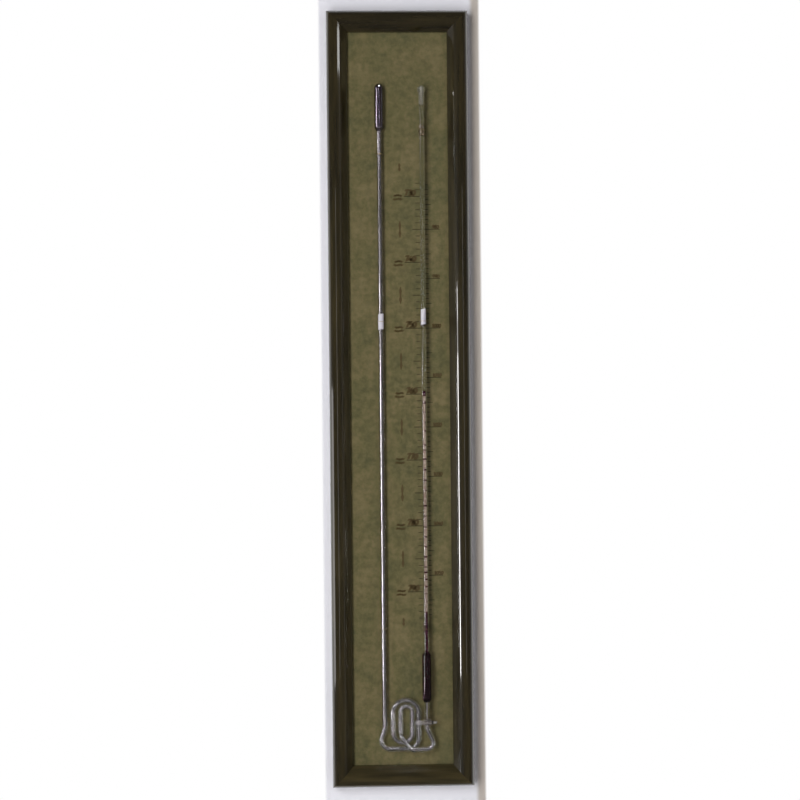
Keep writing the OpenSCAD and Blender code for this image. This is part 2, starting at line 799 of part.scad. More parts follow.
module liquid_cistern() {
    color(liquid_colour) translate([reading_x, leg_y, 0]) rotate_extrude()
        fill_section(cistern_z, cistern_top, cistern_level_z + level_h, seat_z - liquid_gap);
}

module liquid_column() {
    color(liquid_colour) translate([reading_x, leg_y, seat_z])
        cylinder(d = reading_bore - 2 * liquid_gap, h = reading_z - reading_h - seat_z);
}

module liquid_reading() {
    dip = 0.5;
    color(liquid_colour) translate([reading_x, leg_y, reading_z - reading_h]) difference() {
        cylinder(d = reading_bore - 2 * reading_gap, h = reading_h);
        translate([0, 0, reading_h]) cylinder(d1 = 0, d2 = reading_bore - 2 * reading_gap - 0.3, h = dip);
    }
}

frame_stile_left();
frame_stile_right();
frame_rail_top();
frame_rail_bottom();
corner_nails();
backing_board();
scale_sheet();
board_screws();
hanging_plate();
hanging_plate_screws();
closed_limb();
limb_foot();
trap_coil();
crossing_tube();
lower_bend();
cistern();
reading_tube();
tap_barrel();
tap_key();
tap_ring();
limb_saddles();
reading_saddles();
limb_ties();
reading_ties();
mercury_limb();
mercury_foot();
mercury_trap();
mercury_crossing();
mercury_bend();
mercury_inlet();
mercury_key();
mercury_neck();
mercury_upper();
mercury_upper_level();
mercury_cistern();
mercury_cistern_level();
liquid_cistern();
liquid_column();
liquid_reading();
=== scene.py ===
import math
import bmesh
import bpy
from mathutils import Matrix, Vector


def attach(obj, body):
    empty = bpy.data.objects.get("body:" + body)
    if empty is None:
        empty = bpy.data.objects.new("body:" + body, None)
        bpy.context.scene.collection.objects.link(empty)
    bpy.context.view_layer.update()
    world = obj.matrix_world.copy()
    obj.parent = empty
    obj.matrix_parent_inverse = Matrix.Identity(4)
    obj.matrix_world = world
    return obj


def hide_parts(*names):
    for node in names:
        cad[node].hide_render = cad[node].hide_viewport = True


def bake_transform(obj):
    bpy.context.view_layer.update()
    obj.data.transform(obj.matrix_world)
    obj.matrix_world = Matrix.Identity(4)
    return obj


# Contra barometer on its wall. Metres, front towards -Y, +X to the viewer's right, +Z up.
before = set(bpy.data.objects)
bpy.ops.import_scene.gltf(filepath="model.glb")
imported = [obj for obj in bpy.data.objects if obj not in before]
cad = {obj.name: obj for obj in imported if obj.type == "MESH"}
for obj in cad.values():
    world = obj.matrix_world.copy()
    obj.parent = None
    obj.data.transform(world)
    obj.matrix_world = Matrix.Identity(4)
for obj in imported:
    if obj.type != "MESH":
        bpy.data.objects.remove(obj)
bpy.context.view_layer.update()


# Frame: four mitred lengths of one wooden moulding, a bold round outside and a rounded shoulder and
# long slope inside, down to a narrow sight edge. The wood is stained dark and lacquered to a high
# gloss in a brown with olive in it, and it is glued and nailed at the mitres.
FRAME_W, FRAME_H, MOULDING_W, MOULDING_D = 0.196, 1.075, 0.0285, 0.030
CREST, INNER_ROUND, INNER_SLOPE, SIGHT, RABBET_W, RABBET_D = 0.010, 0.0135, 50, 0.0005, 0.006, 0.010
WALL_BEVEL, SIGHT_FALL = 0.0004, 1.15       # the sight edge falls that many times as steeply as the slope
ROUND_STEPS, SLOPE_STEPS, CUTS, CREASE = 24, 8, 13, 32
PLATE_RECESS = (0.02305, 0.00165, 0.51820, 0.53430)     # half width, depth, foot and top
KEYHOLE_RECESS = (0.0055, 0.0096, 0.51925, 0.53325)
PAST_BACK = 0.01
BLOCK_SIDES = ((0, 1, 3, 2), (4, 6, 7, 5), (0, 4, 5, 1), (2, 3, 7, 6), (0, 2, 6, 4), (1, 5, 7, 3))


def paint(name, base, roughness, metallic=0.0):
    finish = bpy.data.materials.new(name)
    finish.use_nodes = True
    skin = finish.node_tree.nodes["Principled BSDF"]
    skin.inputs["Base Color"].default_value = (*base, 1)
    skin.inputs["Roughness"].default_value = roughness
    skin.inputs["Metallic"].default_value = metallic
    return finish, skin


def cloudy(finish, scale, detail, stretch=(1, 1, 1), rough=0.55):
    tree = finish.node_tree
    place = tree.nodes.new("ShaderNodeTexCoord")
    turn = tree.nodes.new("ShaderNodeMapping")
    turn.inputs["Scale"].default_value = stretch
    cloud = tree.nodes.new("ShaderNodeTexNoise")
    cloud.inputs["Scale"].default_value = scale
    cloud.inputs["Detail"].default_value = detail
    cloud.inputs["Roughness"].default_value = rough
    tree.links.new(place.outputs["Object"], turn.inputs["Vector"])
    tree.links.new(turn.outputs["Vector"], cloud.inputs["Vector"])
    return cloud.outputs["Fac"]


def tones(finish, fac, stops):
    ramp = finish.node_tree.nodes.new("ShaderNodeValToRGB")
    while len(ramp.color_ramp.elements) < len(stops):
        ramp.color_ramp.elements.new(0.5)
    for element, (place, colour) in zip(ramp.color_ramp.elements, stops):
        element.position = place
        element.color = (*colour, 1)
    finish.node_tree.links.new(fac, ramp.inputs["Fac"])
    return ramp.outputs["Color"]


def blend_tones(finish, fac, under, over):
    mix = finish.node_tree.nodes.new("ShaderNodeMix")
    mix.data_type = "RGBA"
    links = finish.node_tree.links
    if isinstance(fac, float):
        mix.inputs["Factor"].default_value = fac
    else:
        links.new(fac, mix.inputs["Factor"])
    links.new(under, mix.inputs["A"])
    links.new(over, mix.inputs["B"])
    return mix.outputs["Result"]


def relief(finish, skin, height, depth, strength):
    bump = finish.node_tree.nodes.new("ShaderNodeBump")
    bump.inputs["Strength"].default_value = strength
    bump.inputs["Distance"].default_value = depth
    finish.node_tree.links.new(height, bump.inputs["Height"])
    if skin.inputs["Normal"].is_linked:
        finish.node_tree.links.new(skin.inputs["Normal"].links[0].from_socket, bump.inputs["Normal"])
    finish.node_tree.links.new(bump.outputs["Normal"], skin.inputs["Normal"])


def colour_from(finish, skin, colour):
    finish.node_tree.links.new(colour, skin.inputs["Base Color"])


def mottled(name, base, roughness, metallic, cloud, stops):
    # cloud holds the scale and detail of the cloudy pattern and, where needed, its stretch and roughness
    finish, skin = paint(name, base, roughness, metallic)
    mottle = cloudy(finish, *cloud)
    colour_from(finish, skin, tones(finish, mottle, stops))
    return finish, skin, mottle


def finish_node(node, finish):
    shown = cad[node]
    shown.data.materials.clear()
    shown.data.materials.append(finish)


def make_piece(name, points, faces, finish, body="case", smooth=True):
    mesh = bpy.data.meshes.new(name)
    mesh.from_pydata(points, [], faces)
    mesh.materials.append(finish)
    if smooth:
        mesh.polygons.foreach_set("use_smooth", [True] * len(mesh.polygons))
    mesh.update()
    piece = bpy.data.objects.new(name, mesh)
    bpy.context.scene.collection.objects.link(piece)
    if body:
        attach(piece, body)
    return piece


def ring_quads(first, rings, sides, flip=False, closed=False):
    # faces between one ring of points and the next; closed joins the last ring to the first as well
    quads = []
    for ring in range(rings if closed else rings - 1):
        a, b = first + ring * sides, first + (ring + 1) % rings * sides
        for s in range(sides):
            t = (s + 1) % sides
            quad = (a + s, a + t, b + t, b + s)
            quads.append(quad[::-1] if flip else quad)
    return quads


def lacquer(name, along, depth, dull):
    # along is the grain's way; depth is the length's tone, a painted light level; dull is the coat's
    # roughness
    stretch = (14, 14, 1.2) if along == "z" else (1.2, 14, 14)
    shades = ((0.3, (0.013, 0.010, 0.0032)), (0.5, (0.023, 0.0175, 0.0056)), (0.72, (0.037, 0.028, 0.0095)))
    stops = [(place, tuple(part * depth for part in shade)) for place, shade in shades]
    finish, skin = mottled(name, (0.03, 0.024, 0.011), 0.45, 0.0, (9, 5, stretch), stops)[:2]
    relief(finish, skin, cloudy(finish, 90, 3), 0.0002, 0.03)
    skin.inputs["Coat Weight"].default_value = 1.0
    skin.inputs["Coat Roughness"].default_value = dull
    skin.inputs["Coat IOR"].default_value = 1.7
    skin.inputs["Specular IOR Level"].default_value = 0.15
    return finish


def moulding_profile():
    # u from the outer edge inwards, v from the wall forwards
    outline = [(0.0, WALL_BEVEL), (0.0, MOULDING_D - CREST)]
    for step in range(1, ROUND_STEPS + 1):
        a = math.radians(90 * step / ROUND_STEPS)
        outline.append((CREST - CREST * math.cos(a), MOULDING_D - CREST + CREST * math.sin(a)))
    for step in range(1, ROUND_STEPS + 1):
        a = math.radians(INNER_SLOPE * step / ROUND_STEPS)
        outline.append((CREST + INNER_ROUND * math.sin(a), MOULDING_D - INNER_ROUND * (1 - math.cos(a))))
    top_u, top_v = outline[-1]
    fall = math.tan(math.radians(INNER_SLOPE))
    for step in range(1, SLOPE_STEPS + 1):
        u = top_u + (MOULDING_W - SIGHT - top_u) * step / SLOPE_STEPS
        outline.append((u, top_v - (u - top_u) * fall))
    outline.append((MOULDING_W, outline[-1][1] - SIGHT * fall * SIGHT_FALL))
    outline += [(MOULDING_W, RABBET_D), (MOULDING_W - RABBET_W, RABBET_D), (MOULDING_W - RABBET_W, 0.0)]
    outline.append((WALL_BEVEL, 0.0))
    return outline


def even_normals(piece):
    shape = bmesh.new()
    shape.from_mesh(piece.data)
    bmesh.ops.recalc_face_normals(shape, faces=shape.faces)
    shape.to_mesh(piece.data)
    shape.free()


def moulding_length(name, side, finish):
    # side is left, right, top or bottom; the length is cut at 45 degrees at both ends
    outline = moulding_profile()
    count = len(outline)
    points = []
    for cut in range(CUTS):
        t = 2 * cut / (CUTS - 1) - 1
        for u, v in outline:
            if side in ("left", "right"):
                x = (-FRAME_W / 2 + u) if side == "left" else (FRAME_W / 2 - u)
                points.append((x, -v, t * (FRAME_H / 2 - u)))
            else:
                z = (FRAME_H / 2 - u) if side == "top" else (-FRAME_H / 2 + u)
                points.append((t * (FRAME_W / 2 - u), -v, z))
    faces = ring_quads(0, CUTS, count)
    faces += [tuple(range(count)), tuple(range((CUTS - 1) * count, CUTS * count))]
    piece = make_piece(name, points, faces, finish, None)
    even_normals(piece)
    piece.data.set_sharp_from_angle(angle=math.radians(CREASE))
    return piece


def let_in_plate(rail):
    corners, sides = [], []
    for half, deep, foot, top in (PLATE_RECESS, KEYHOLE_RECESS):
        first = len(corners)
        corners += [(x, y, z) for x in (-half, half) for y in (-deep, PAST_BACK) for z in (foot, top)]
        sides += [tuple(first + i for i in quad) for quad in BLOCK_SIDES]
    recess = bpy.data.meshes.new("recess")
    recess.from_pydata(corners, [], sides)
    cutter = bpy.data.objects.new("recess", recess)
    bpy.context.scene.collection.objects.link(cutter)
    carve = rail.modifiers.new("let_in_plate", "BOOLEAN")
    carve.object = cutter
    carve.operation = "DIFFERENCE"
    carve.use_self = True
    with bpy.context.temp_override(object=rail, active_object=rail):
        bpy.ops.object.modifier_apply(modifier=carve.name)
    bpy.data.objects.remove(cutter)


lengths = {}
# the fourth number is painted light and shade: the bottom rail is painted lighter, as lit from above, the top
# rail darker, as shaded beneath, and the left stile a little lighter than the right
for side, node, along, depth, dull in (("left", "frame_stile_left", "z", 1.1, 0.045),
                                       ("right", "frame_stile_right", "z", 1.0, 0.045),
                                       ("top", "frame_rail_top", "x", 0.8, 0.045),
                                       ("bottom", "frame_rail_bottom", "x", 1.6, 0.2)):
    length = moulding_length("moulding_" + side, side, lacquer("lacquer_" + side, along, depth, dull))
    lengths[side] = length
    if side == "top":
        let_in_plate(length)
    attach(length, "case")
    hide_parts(node)

# Corner nails and hanging plate: thin steel fasteners let in from the back, across each mitre, and a
# pressed steel plate with a keyhole, screwed into the top rail. All are zinc plated and dull.
steel, steel_skin = mottled("zinc_steel", (0.42, 0.43, 0.45), 0.42, 1.0, (900, 3),
                            [(0.3, (0.33, 0.34, 0.35)), (0.7, (0.5, 0.51, 0.53))])[:2]
relief(steel, steel_skin, cloudy(steel, 2500, 2, (1, 1, 0.1)), 0.0001, 0.3)
for node in ("corner_nails", "hanging_plate", "hanging_plate_screws"):
    finish_node(node, steel)

# Backing board: one softwood board, flush with the back of the frame, held in the rabbet by ten brass
# screws. It carries the glass, and its back has small pockets for the ends of the wire ties.
softwood, softwood_skin, grain = mottled(
    "bare_softwood", (0.4, 0.28, 0.16), 0.7, 0.0, (30, 6, (9, 9, 0.5), 0.65),
    [(0.25, (0.26, 0.16, 0.08)), (0.5, (0.42, 0.29, 0.165)), (0.75, (0.5, 0.37, 0.22))])
relief(softwood, softwood_skin, grain, 0.0005, 0.35)
finish_node("backing_board", softwood)
brass, brass_skin, tarnish = mottled("drawn_brass", (0.58, 0.42, 0.18), 0.32, 1.0, (700, 4),
                                     [(0.3, (0.42, 0.29, 0.11)), (0.7, (0.65, 0.49, 0.22))])
relief(brass, brass_skin, tarnish, 0.0001, 0.25)
finish_node("board_screws", brass)

# Scale sheet: a printed sheet with the look of olive suede, laid on the board under the sight edge.
# Its colour is clouded between olive and brown, with a fine matt nap.
suede, suede_skin = paint("olive_suede", (0.125, 0.108, 0.048), 0.92)
broad = tones(suede, cloudy(suede, 26, 5, (1, 1, 1), 0.6),
              [(0.36, (0.076, 0.078, 0.034)), (0.47, (0.116, 0.106, 0.044)),
               (0.55, (0.146, 0.121, 0.054)), (0.64, (0.192, 0.154, 0.074))])
small = tones(suede, cloudy(suede, 110, 6, (1, 1, 1), 0.65),
              [(0.38, (0.074, 0.074, 0.034)), (0.51, (0.132, 0.115, 0.051)), (0.62, (0.186, 0.150, 0.072))])
nap = cloudy(suede, 1400, 3)
fibre = tones(suede, nap, [(0.3, (0.075, 0.068, 0.030)), (0.7, (0.185, 0.160, 0.076))])
colour_from(suede, suede_skin, blend_tones(suede, 0.16, blend_tones(suede, 0.5, broad, small), fibre))
relief(suede, suede_skin, nap, 0.0003, 0.25)
suede_skin.inputs["Sheen Weight"].default_value = 0.15
suede_skin.inputs["Sheen Roughness"].default_value = 0.6
suede_skin.inputs["Specular IOR Level"].default_value = 0.2
finish_node("scale_sheet", suede)

# Printing: two scales in brown ink on either side of the reading tube, with higher numbers below.
# The left one has tall pen-drawn numbers, the right one small ones. Slim lozenges and wavy
# flourishes fill the column beside the numbers.
INK_Y = -0.01004
READING_X = 0.033
Z_750, STEP_LEFT, STEP_RIGHT = 0.0977, 0.00917, 0.00688
LEFT_VALUES, RIGHT_VALUES = range(728, 795), range(971, 1059)
LEFT_NUMBERS, RIGHT_NUMBERS = range(730, 800, 10), range(980, 1060, 10)
LEFT_GAP, LEFT_TICK, LEFT_FIFTH, LEFT_LINE_X = 0.0010, 0.0090, 0.0135, 0.0085
RIGHT_GAP, RIGHT_TICK, RIGHT_FIFTH, RIGHT_LINE = 0.0030, 0.0088, 0.0125, 0.0245
FINE_LINE, BOLD_LINE, NIB_ANGLE, DIGIT_STEP = 0.0009, 0.0011, 32, 0.66
LEFT_X, LEFT_LIFT, LEFT_HIGH, LEFT_NIB, LEFT_HAIR = 0.0092, 0.0013, 0.0076, 0.0024, 0.0013
RIGHT_X, WIDE_X, RIGHT_LIFT = 0.0472, 0.0455, 0.0009     # WIDE_X is where the numbers of four digits start
RIGHT_HIGH, RIGHT_NIB, RIGHT_HAIR = 0.0048, 0.0013, 0.0008
LOZENGE_X, LOZENGE_HALF, END_LOZENGE_HALF, END_LOZENGES = 0.0022, 0.0115, 0.0055, (0.3218, -0.3107)
LOZENGE_WIDTHS = (0.0005, 0.0012, 0.0018, 0.0014, 0.0009, 0.0013, 0.0021, 0.0012, 0.0005)
FLOURISH_ROWS, ROW_DROP, SWING, KNOTS = ((-0.0058, 0.0052), (-0.0068, 0.0058)), 0.0050, 0.0014, 10
FLOURISH_NIB, FLOURISH_HAIR = 0.0011, 0.0010
PEN = {
    "0": [[(.3, 1), (.08, .8), (.03, .5), (.08, .2), (.3, 0), (.52, .2), (.57, .5), (.52, .8), (.3, 1)]],
    "1": [[(.12, .78), (.25, .88), (.34, 1), (.34, .5), (.34, .02)], [(.16, 0), (.52, .02)]],
    "2": [[(.06, .76), (.14, .95), (.34, 1), (.52, .84), (.44, .52), (.22, .22), (.04, .02),
           (.28, .07), (.58, .01)]],
    "3": [[(.07, .88), (.26, 1), (.5, .86), (.42, .62), (.22, .54), (.48, .47), (.56, .24),
           (.34, 0), (.05, .1)]],
    "4": [[(.42, 1), (.2, .62), (.02, .3), (.3, .29), (.6, .31)], [(.43, .6), (.42, .3), (.42, 0)]],
    "5": [[(.55, 1), (.3, .98), (.16, 1), (.11, .56), (.34, .62), (.56, .42), (.52, .12), (.26, 0),
           (.04, .1)]],
    "6": [[(.5, .97), (.26, .84), (.07, .5), (.08, .18), (.3, 0), (.54, .15), (.54, .42),
           (.32, .56), (.1, .4)]],
    "7": [[(.04, .95), (.3, .98), (.58, 1), (.4, .55), (.22, 0)]],
    "8": [[(.3, .55), (.1, .76), (.3, 1), (.51, .78), (.3, .55), (.05, .25), (.3, 0), (.56, .25),
           (.3, .55)]],
    "9": [[(.1, .03), (.34, .16), (.53, .5), (.52, .82), (.3, 1), (.06, .85), (.06, .58),
           (.28, .44), (.5, .6)]],
}


def printing_ink(name, base, dark, light):
    finish, skin, worn = mottled(name, base, 0.8, 0.0, (1800, 3), [(0.35, dark), (0.75, light)])
    relief(finish, skin, worn, 0.0002, 0.2)
    return finish


def smooth_line(knots, steps=5):
    ends = [knots[0]] + knots + [knots[-1]]
    line = []
    for i in range(1, len(ends) - 2):
        p0, p1, p2, p3 = ends[i - 1:i + 3]
        for s in range(steps):
            t = s / steps
            line.append(tuple(0.5 * (2 * b + (c - a) * t + (2 * a - 5 * b + 4 * c - d) * t * t
                              + (3 * b - a - 3 * c + d) * t ** 3) for a, b, c, d in zip(p0, p1, p2, p3)))
    return line + [knots[-1]]


def pen_stroke(points, faces, line, broad_nib, fine):
    first = len(points)
    slant = math.radians(NIB_ANGLE)
    nib = Vector((math.cos(slant), math.sin(slant))) * broad_nib / 2
    for i, (x, z) in enumerate(line):
        before, after = line[max(i - 1, 0)], line[min(i + 1, len(line) - 1)]
        way = Vector((after[0] - before[0], after[1] - before[1]))
        across = Vector((-way.y, way.x)).normalized() * fine / 2
        edge = nib if nib.dot(across) > 0 else -nib
        edge = edge + across
        points += [(x + edge.x, INK_Y, z + edge.y), (x - edge.x, INK_Y, z - edge.y)]
    for i in range(len(line) - 1):
        a = first + 2 * i
        faces.append((a, a + 1, a + 3, a + 2))


def bar(points, faces, x0, x1, z, thick):
    first = len(points)
    points += [(x0, INK_Y, z - thick / 2), (x1, INK_Y, z - thick / 2), (x1, INK_Y, z + thick / 2),
               (x0, INK_Y, z + thick / 2)]
    faces.append((first, first + 1, first + 2, first + 3))


def print_number(name, number, x, z, high, broad_nib, fine):
    points, faces = [], []
    for digit in str(number):
        for knots in PEN[digit]:
            line = smooth_line([(x + kx * high, z + kz * high) for kx, kz in knots])
            pen_stroke(points, faces, line, broad_nib, fine)
        x += DIGIT_STEP * high
    make_piece(name, points, faces, ink, smooth=False)


def left_z(value):
    return Z_750 - (value - 750) * STEP_LEFT


def right_z(value):
    return Z_750 - (value - 1000) * STEP_RIGHT


ink = printing_ink("brown_ink", (0.06, 0.038, 0.012), (0.064, 0.042, 0.014), (0.100, 0.072, 0.029))
dark_ink = printing_ink("dark_ink", (0.03, 0.027, 0.010), (0.022, 0.019, 0.007), (0.05, 0.043, 0.017))
marks, mark_faces = [], []
for value in LEFT_VALUES:
    left = READING_X - (LEFT_TICK if value % 5 else LEFT_FIFTH)
    if value in LEFT_NUMBERS:
        left = LEFT_LINE_X
    bar(marks, mark_faces, left, READING_X - LEFT_GAP, left_z(value), FINE_LINE if value % 5 else BOLD_LINE)
for value in RIGHT_VALUES:
    right = READING_X + (RIGHT_TICK if value % 5 else RIGHT_FIFTH)
    if value in RIGHT_NUMBERS:
        right = READING_X + RIGHT_LINE
    bar(marks, mark_faces, READING_X + RIGHT_GAP, right, right_z(value), FINE_LINE)
scale_lines = make_piece("scale_lines", marks, mark_faces, dark_ink, smooth=False)
for value in LEFT_NUMBERS:
    print_number("left_number_%d" % value, value, LEFT_X, left_z(value) + LEFT_LIFT,
                 LEFT_HIGH, LEFT_NIB, LEFT_HAIR)
for value in RIGHT_NUMBERS:
    print_number("right_number_%d" % value, value, RIGHT_X if value < 1000 else WIDE_X,
                 right_z(value) + RIGHT_LIFT, RIGHT_HIGH, RIGHT_NIB, RIGHT_HAIR)
places = [(Z_750 + (1.5 - k) * 10 * STEP_LEFT, LOZENGE_HALF) for k in range(6)]
places += [(z, END_LOZENGE_HALF) for z in END_LOZENGES]
points, faces = [], []
last = len(LOZENGE_WIDTHS) - 1
for middle, half in places:
    first = len(points)
    for k, wide in enumerate(LOZENGE_WIDTHS):
        z = middle + half * (1 - 2 * k / last)
        points += [(LOZENGE_X - wide, INK_Y, z), (LOZENGE_X + wide, INK_Y, z)]
    faces += [(first + 2 * k, first + 2 * k + 1, first + 2 * k + 3, first + 2 * k + 2) for k in range(last)]
make_piece("lozenges", points, faces, ink, smooth=False)
points, faces = [], []
for value in LEFT_NUMBERS:
    for row, (x0, x1) in enumerate(FLOURISH_ROWS):
        knots = []
        for k in range(KNOTS):
            swing = (SWING if k % 2 else -SWING) * (0.75 + 0.35 * math.sin(value * 0.7 + k * 2.3 + row))
            z = left_z(value) + LEFT_LIFT - ROW_DROP * row + swing
            knots.append((x0 + (x1 - x0) * k / (KNOTS - 1), z))
        pen_stroke(points, faces, smooth_line(knots, 4), FLOURISH_NIB, FLOURISH_HAIR)
make_piece("flourishes", points, faces, ink, smooth=False)

# Saddles and ties: small cork blocks hold both limbs off the sheet, and a loop of thin brass wire goes
# round each tube and through the board at three heights, with its ends turned over behind.
cork, cork_skin, crumb = mottled("cork", (0.2, 0.135, 0.075), 0.85, 0.0, (1100, 5),
                                 [(0.3, (0.09, 0.055, 0.03)), (0.55, (0.2, 0.135, 0.075)),
                                  (0.8, (0.28, 0.2, 0.12))])
relief(cork, cork_skin, crumb, 0.0004, 0.5)
for node in ("limb_saddles", "reading_saddles"):
    finish_node(node, cork)
for node in ("limb_ties", "reading_ties"):
    finish_node(node, brass)

# White bands: a strip of white enamelled sheet is wrapped round each tube half way up, under the wire
# tie, so that the wire doesn't chafe the glass. The two bands stand at slightly different heights.
LIMB_X, LIMB_Y, LEG_Y = -0.0256, -0.0168, -0.0240
TUBE_R, READING_R = 0.0037, 0.0034
BAND_HALF, BAND_SIDES, BAND_CREASE = 0.0105, 48, 40
# the band's section: how far off the glass, and how far up from its middle, as a share of its half height
BAND_SECTION = ((0.00002, -1), (0.0002, -1), (0.00025, -0.99), (0.00025, -0.5), (0.00025, 0),
                (0.00025, 0.5), (0.00025, 0.99), (0.0002, 1), (0.00002, 1))
white_enamel, enamel_skin, stain = mottled("white_enamel", (0.8, 0.78, 0.84), 0.18, 0.0,
                                           (160, 3, (1, 1, 0.3)),
                                           [(0.3, (0.56, 0.54, 0.62)), (0.6, (0.74, 0.72, 0.78))])
relief(white_enamel, enamel_skin, stain, 0.0003, 0.15)
for name, x, y, z, tube_r in (("limb_band", LIMB_X, LIMB_Y, 0.1068, TUBE_R),
                              ("reading_band", READING_X, LEG_Y, 0.1130, READING_R)):
    points = []
    for off, level in BAND_SECTION:
        r = tube_r + off
        for step in range(BAND_SIDES):
            a = 2 * math.pi * step / BAND_SIDES
            ragged = BAND_HALF + 0.0006 * math.sin(a + level * 2.1) + 0.0002 * math.sin(5 * a + level)
            points.append((x + r * math.cos(a), y + r * math.sin(a), z + ragged * level))
    faces = ring_quads(0, len(BAND_SECTION), BAND_SIDES, closed=True)
    band = make_piece(name, points, faces, white_enamel)
    band.data.set_sharp_from_angle(angle=math.radians(BAND_CREASE))

# Glass, closed limb: one long tube of clear glass, closed at the top in a long bulb and narrowing in
# its bore at the foot. It is drawn and blown by hand, so its skin has faint waves along it.
LIMB_BORE_R, TRAP_BORE_R = 0.0023, 0.0015
BULB_R, BULB_BORE_R = 0.0063, 0.0055
LIMB_FOOT_Z, UPPER_FOOT, UPPER_TOP = -0.455543, 0.371312, 0.436812
# a bulb and its bore swell over these lengths, and run straight from a little past them
SHOULDER, BORE_SHOULDER, PAST_SHOULDER, PAST_BORE_SHOULDER = 0.0048, 0.0056, 0.0065, 0.0072
# the stretches of a profile end a little short of each other, so that no two rings meet
TUBE_STOP, SWELL_GAP, BORE_GAP, FOOT_TAPER, PAST_TAPER = 0.0015, 0.001, 0.0004, 0.006, 0.01
TIP_R = 0.00001     # a profile closes on this radius, not on a point
FLAT_UP_TO, FLAT_EASE = 0.0016, 0.0007      # bores narrower than this are drawn flat, wider ones round


def clear_glass(name, tint=(0.93, 0.95, 0.92), roughness=0.0, waves=0.02, clear=1.0):
    finish, skin = paint(name, tint, roughness)
    skin.inputs["Transmission Weight"].default_value = clear
    skin.inputs["IOR"].default_value = 1.5
    relief(finish, skin, cloudy(finish, 30, 2, (6, 6, 0.2)), 0.0004, waves)
    return finish, skin


def turned(name, x, y, outer, inner, finish, sides=48, body="case", flat=1.0):
    # flat widens what is narrower than the tube's bore and thins it by the same, so its area stays
    points, faces = [], []
    for profile, flip in ((outer, False), (inner, True)):
        if not profile:
            continue
        faces += ring_quads(len(points), len(profile), sides, flip)
        for r, z in profile:
            oval = 1
            if flip or not inner:
                oval = 1 + (flat - 1) * min(1, max(0, (FLAT_UP_TO - r) / FLAT_EASE))
            for s in range(sides):
                a = 2 * math.pi * s / sides
                points.append((x + r * oval * math.cos(a), y + r / oval * math.sin(a), z))
    return make_piece(name, points, faces, finish, body)


def dome(radius, centre_z, start, stop, steps=18):
    # start and stop are heights on the sphere, as angles from the equator in degrees
    ring = []
    for k in range(steps + 1):
        a = math.radians(start + (stop - start) * k / steps)
        ring.append((max(radius * math.cos(a), TIP_R), centre_z + radius * math.sin(a)))
    return ring


def eased(r0, z0, r1, z1, steps=12):
    curve = []
    for k in range(steps + 1):
        t = k / steps
        curve.append((r0 + (r1 - r0) * t * t * (3 - 2 * t), z0 + (z1 - z0) * t))
    return curve


def straight(r, z0, z1, steps=2):
    return [(r, z0 + (z1 - z0) * k / steps) for k in range(steps + 1)]


glass = clear_glass("drawn_glass")[0]
limb_outer = (straight(TUBE_R, LIMB_FOOT_Z, UPPER_FOOT - TUBE_STOP, 60)
              + eased(TUBE_R, UPPER_FOOT - SWELL_GAP, BULB_R, UPPER_FOOT + SHOULDER)
              + straight(BULB_R, UPPER_FOOT + PAST_SHOULDER, UPPER_TOP - BULB_R, 10)[:-1]
              + dome(BULB_R, UPPER_TOP - BULB_R, 0, 90))
limb_inner = (eased(TRAP_BORE_R, LIMB_FOOT_Z, LIMB_BORE_R, LIMB_FOOT_Z + FOOT_TAPER)
              + straight(LIMB_BORE_R, LIMB_FOOT_Z + PAST_TAPER, UPPER_FOOT, 4)
              + eased(LIMB_BORE_R, UPPER_FOOT + BORE_GAP, BULB_BORE_R, UPPER_FOOT + BORE_SHOULDER)
              + straight(BULB_BORE_R, UPPER_FOOT + PAST_BORE_SHOULDER, UPPER_TOP - BULB_R, 10)[:-1]
              + dome(BULB_BORE_R, UPPER_TOP - BULB_R, 0, 90))
limb = turned("glass_closed_limb", LIMB_X, LIMB_Y, limb_outer, limb_inner, glass)
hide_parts("closed_limb")

# Glass, foot, trap and crossing: the same tube, bent over a flame. The foot leans out and turns into
# the bottom run, the trap winds two flat turns, and a thinner tube comes forward from its inner end
# and crosses down in front of it.
RUN_Z, RUN_START_X = -0.486, -0.018266
TURN_LEFT, TURN_RIGHT, INNER_LEFT, INNER_RIGHT = -0.01415, 0.02155, -0.00355, 0.01285
TURN_TOP, INNER_TOP, INNER_FOOT = -0.419, -0.427, -0.4773
RISE_R, TAIL_RISE, CROSSING_R = 0.015, 0.022, 0.0029
FOOT_LEAN_R, FOOT_LEAN, FOOT_DROP, HEEL_R = 0.020, 20, 0.008, 0.012
TURN_R, SLOPE, SLOPE_R, TAPER = 0.0036, 52, 0.006, 8
STRAIGHT_STEP, BEND_STEP = 0.004, 4


def bent_path(start, heading, towards, steps):
    # each step: straight length, bend radius, bend angle, roll before the bend
    path = [Vector(start)]
    z, x = Vector(heading), Vector(towards)
    for length, radius, angle, roll in steps:
        if length > 0:
            count = max(1, int(length / STRAIGHT_STEP))
            origin = path[-1]
            path += [origin + z * length * (k + 1) / count for k in range(count)]
        x = Matrix.Rotation(math.radians(roll), 3, z) @ x
        if angle:
            origin = path[-1]
            count = max(2, int(abs(angle) / BEND_STEP))
            for k in range(1, count + 1):
                a = math.radians(angle) * k / count
                path.append(origin + x * radius * (1 - math.cos(a)) + z * radius * math.sin(a))
            a = math.radians(angle)
            x, z = x * math.cos(a) - z * math.sin(a), z * math.cos(a) + x * math.sin(a)
    return path


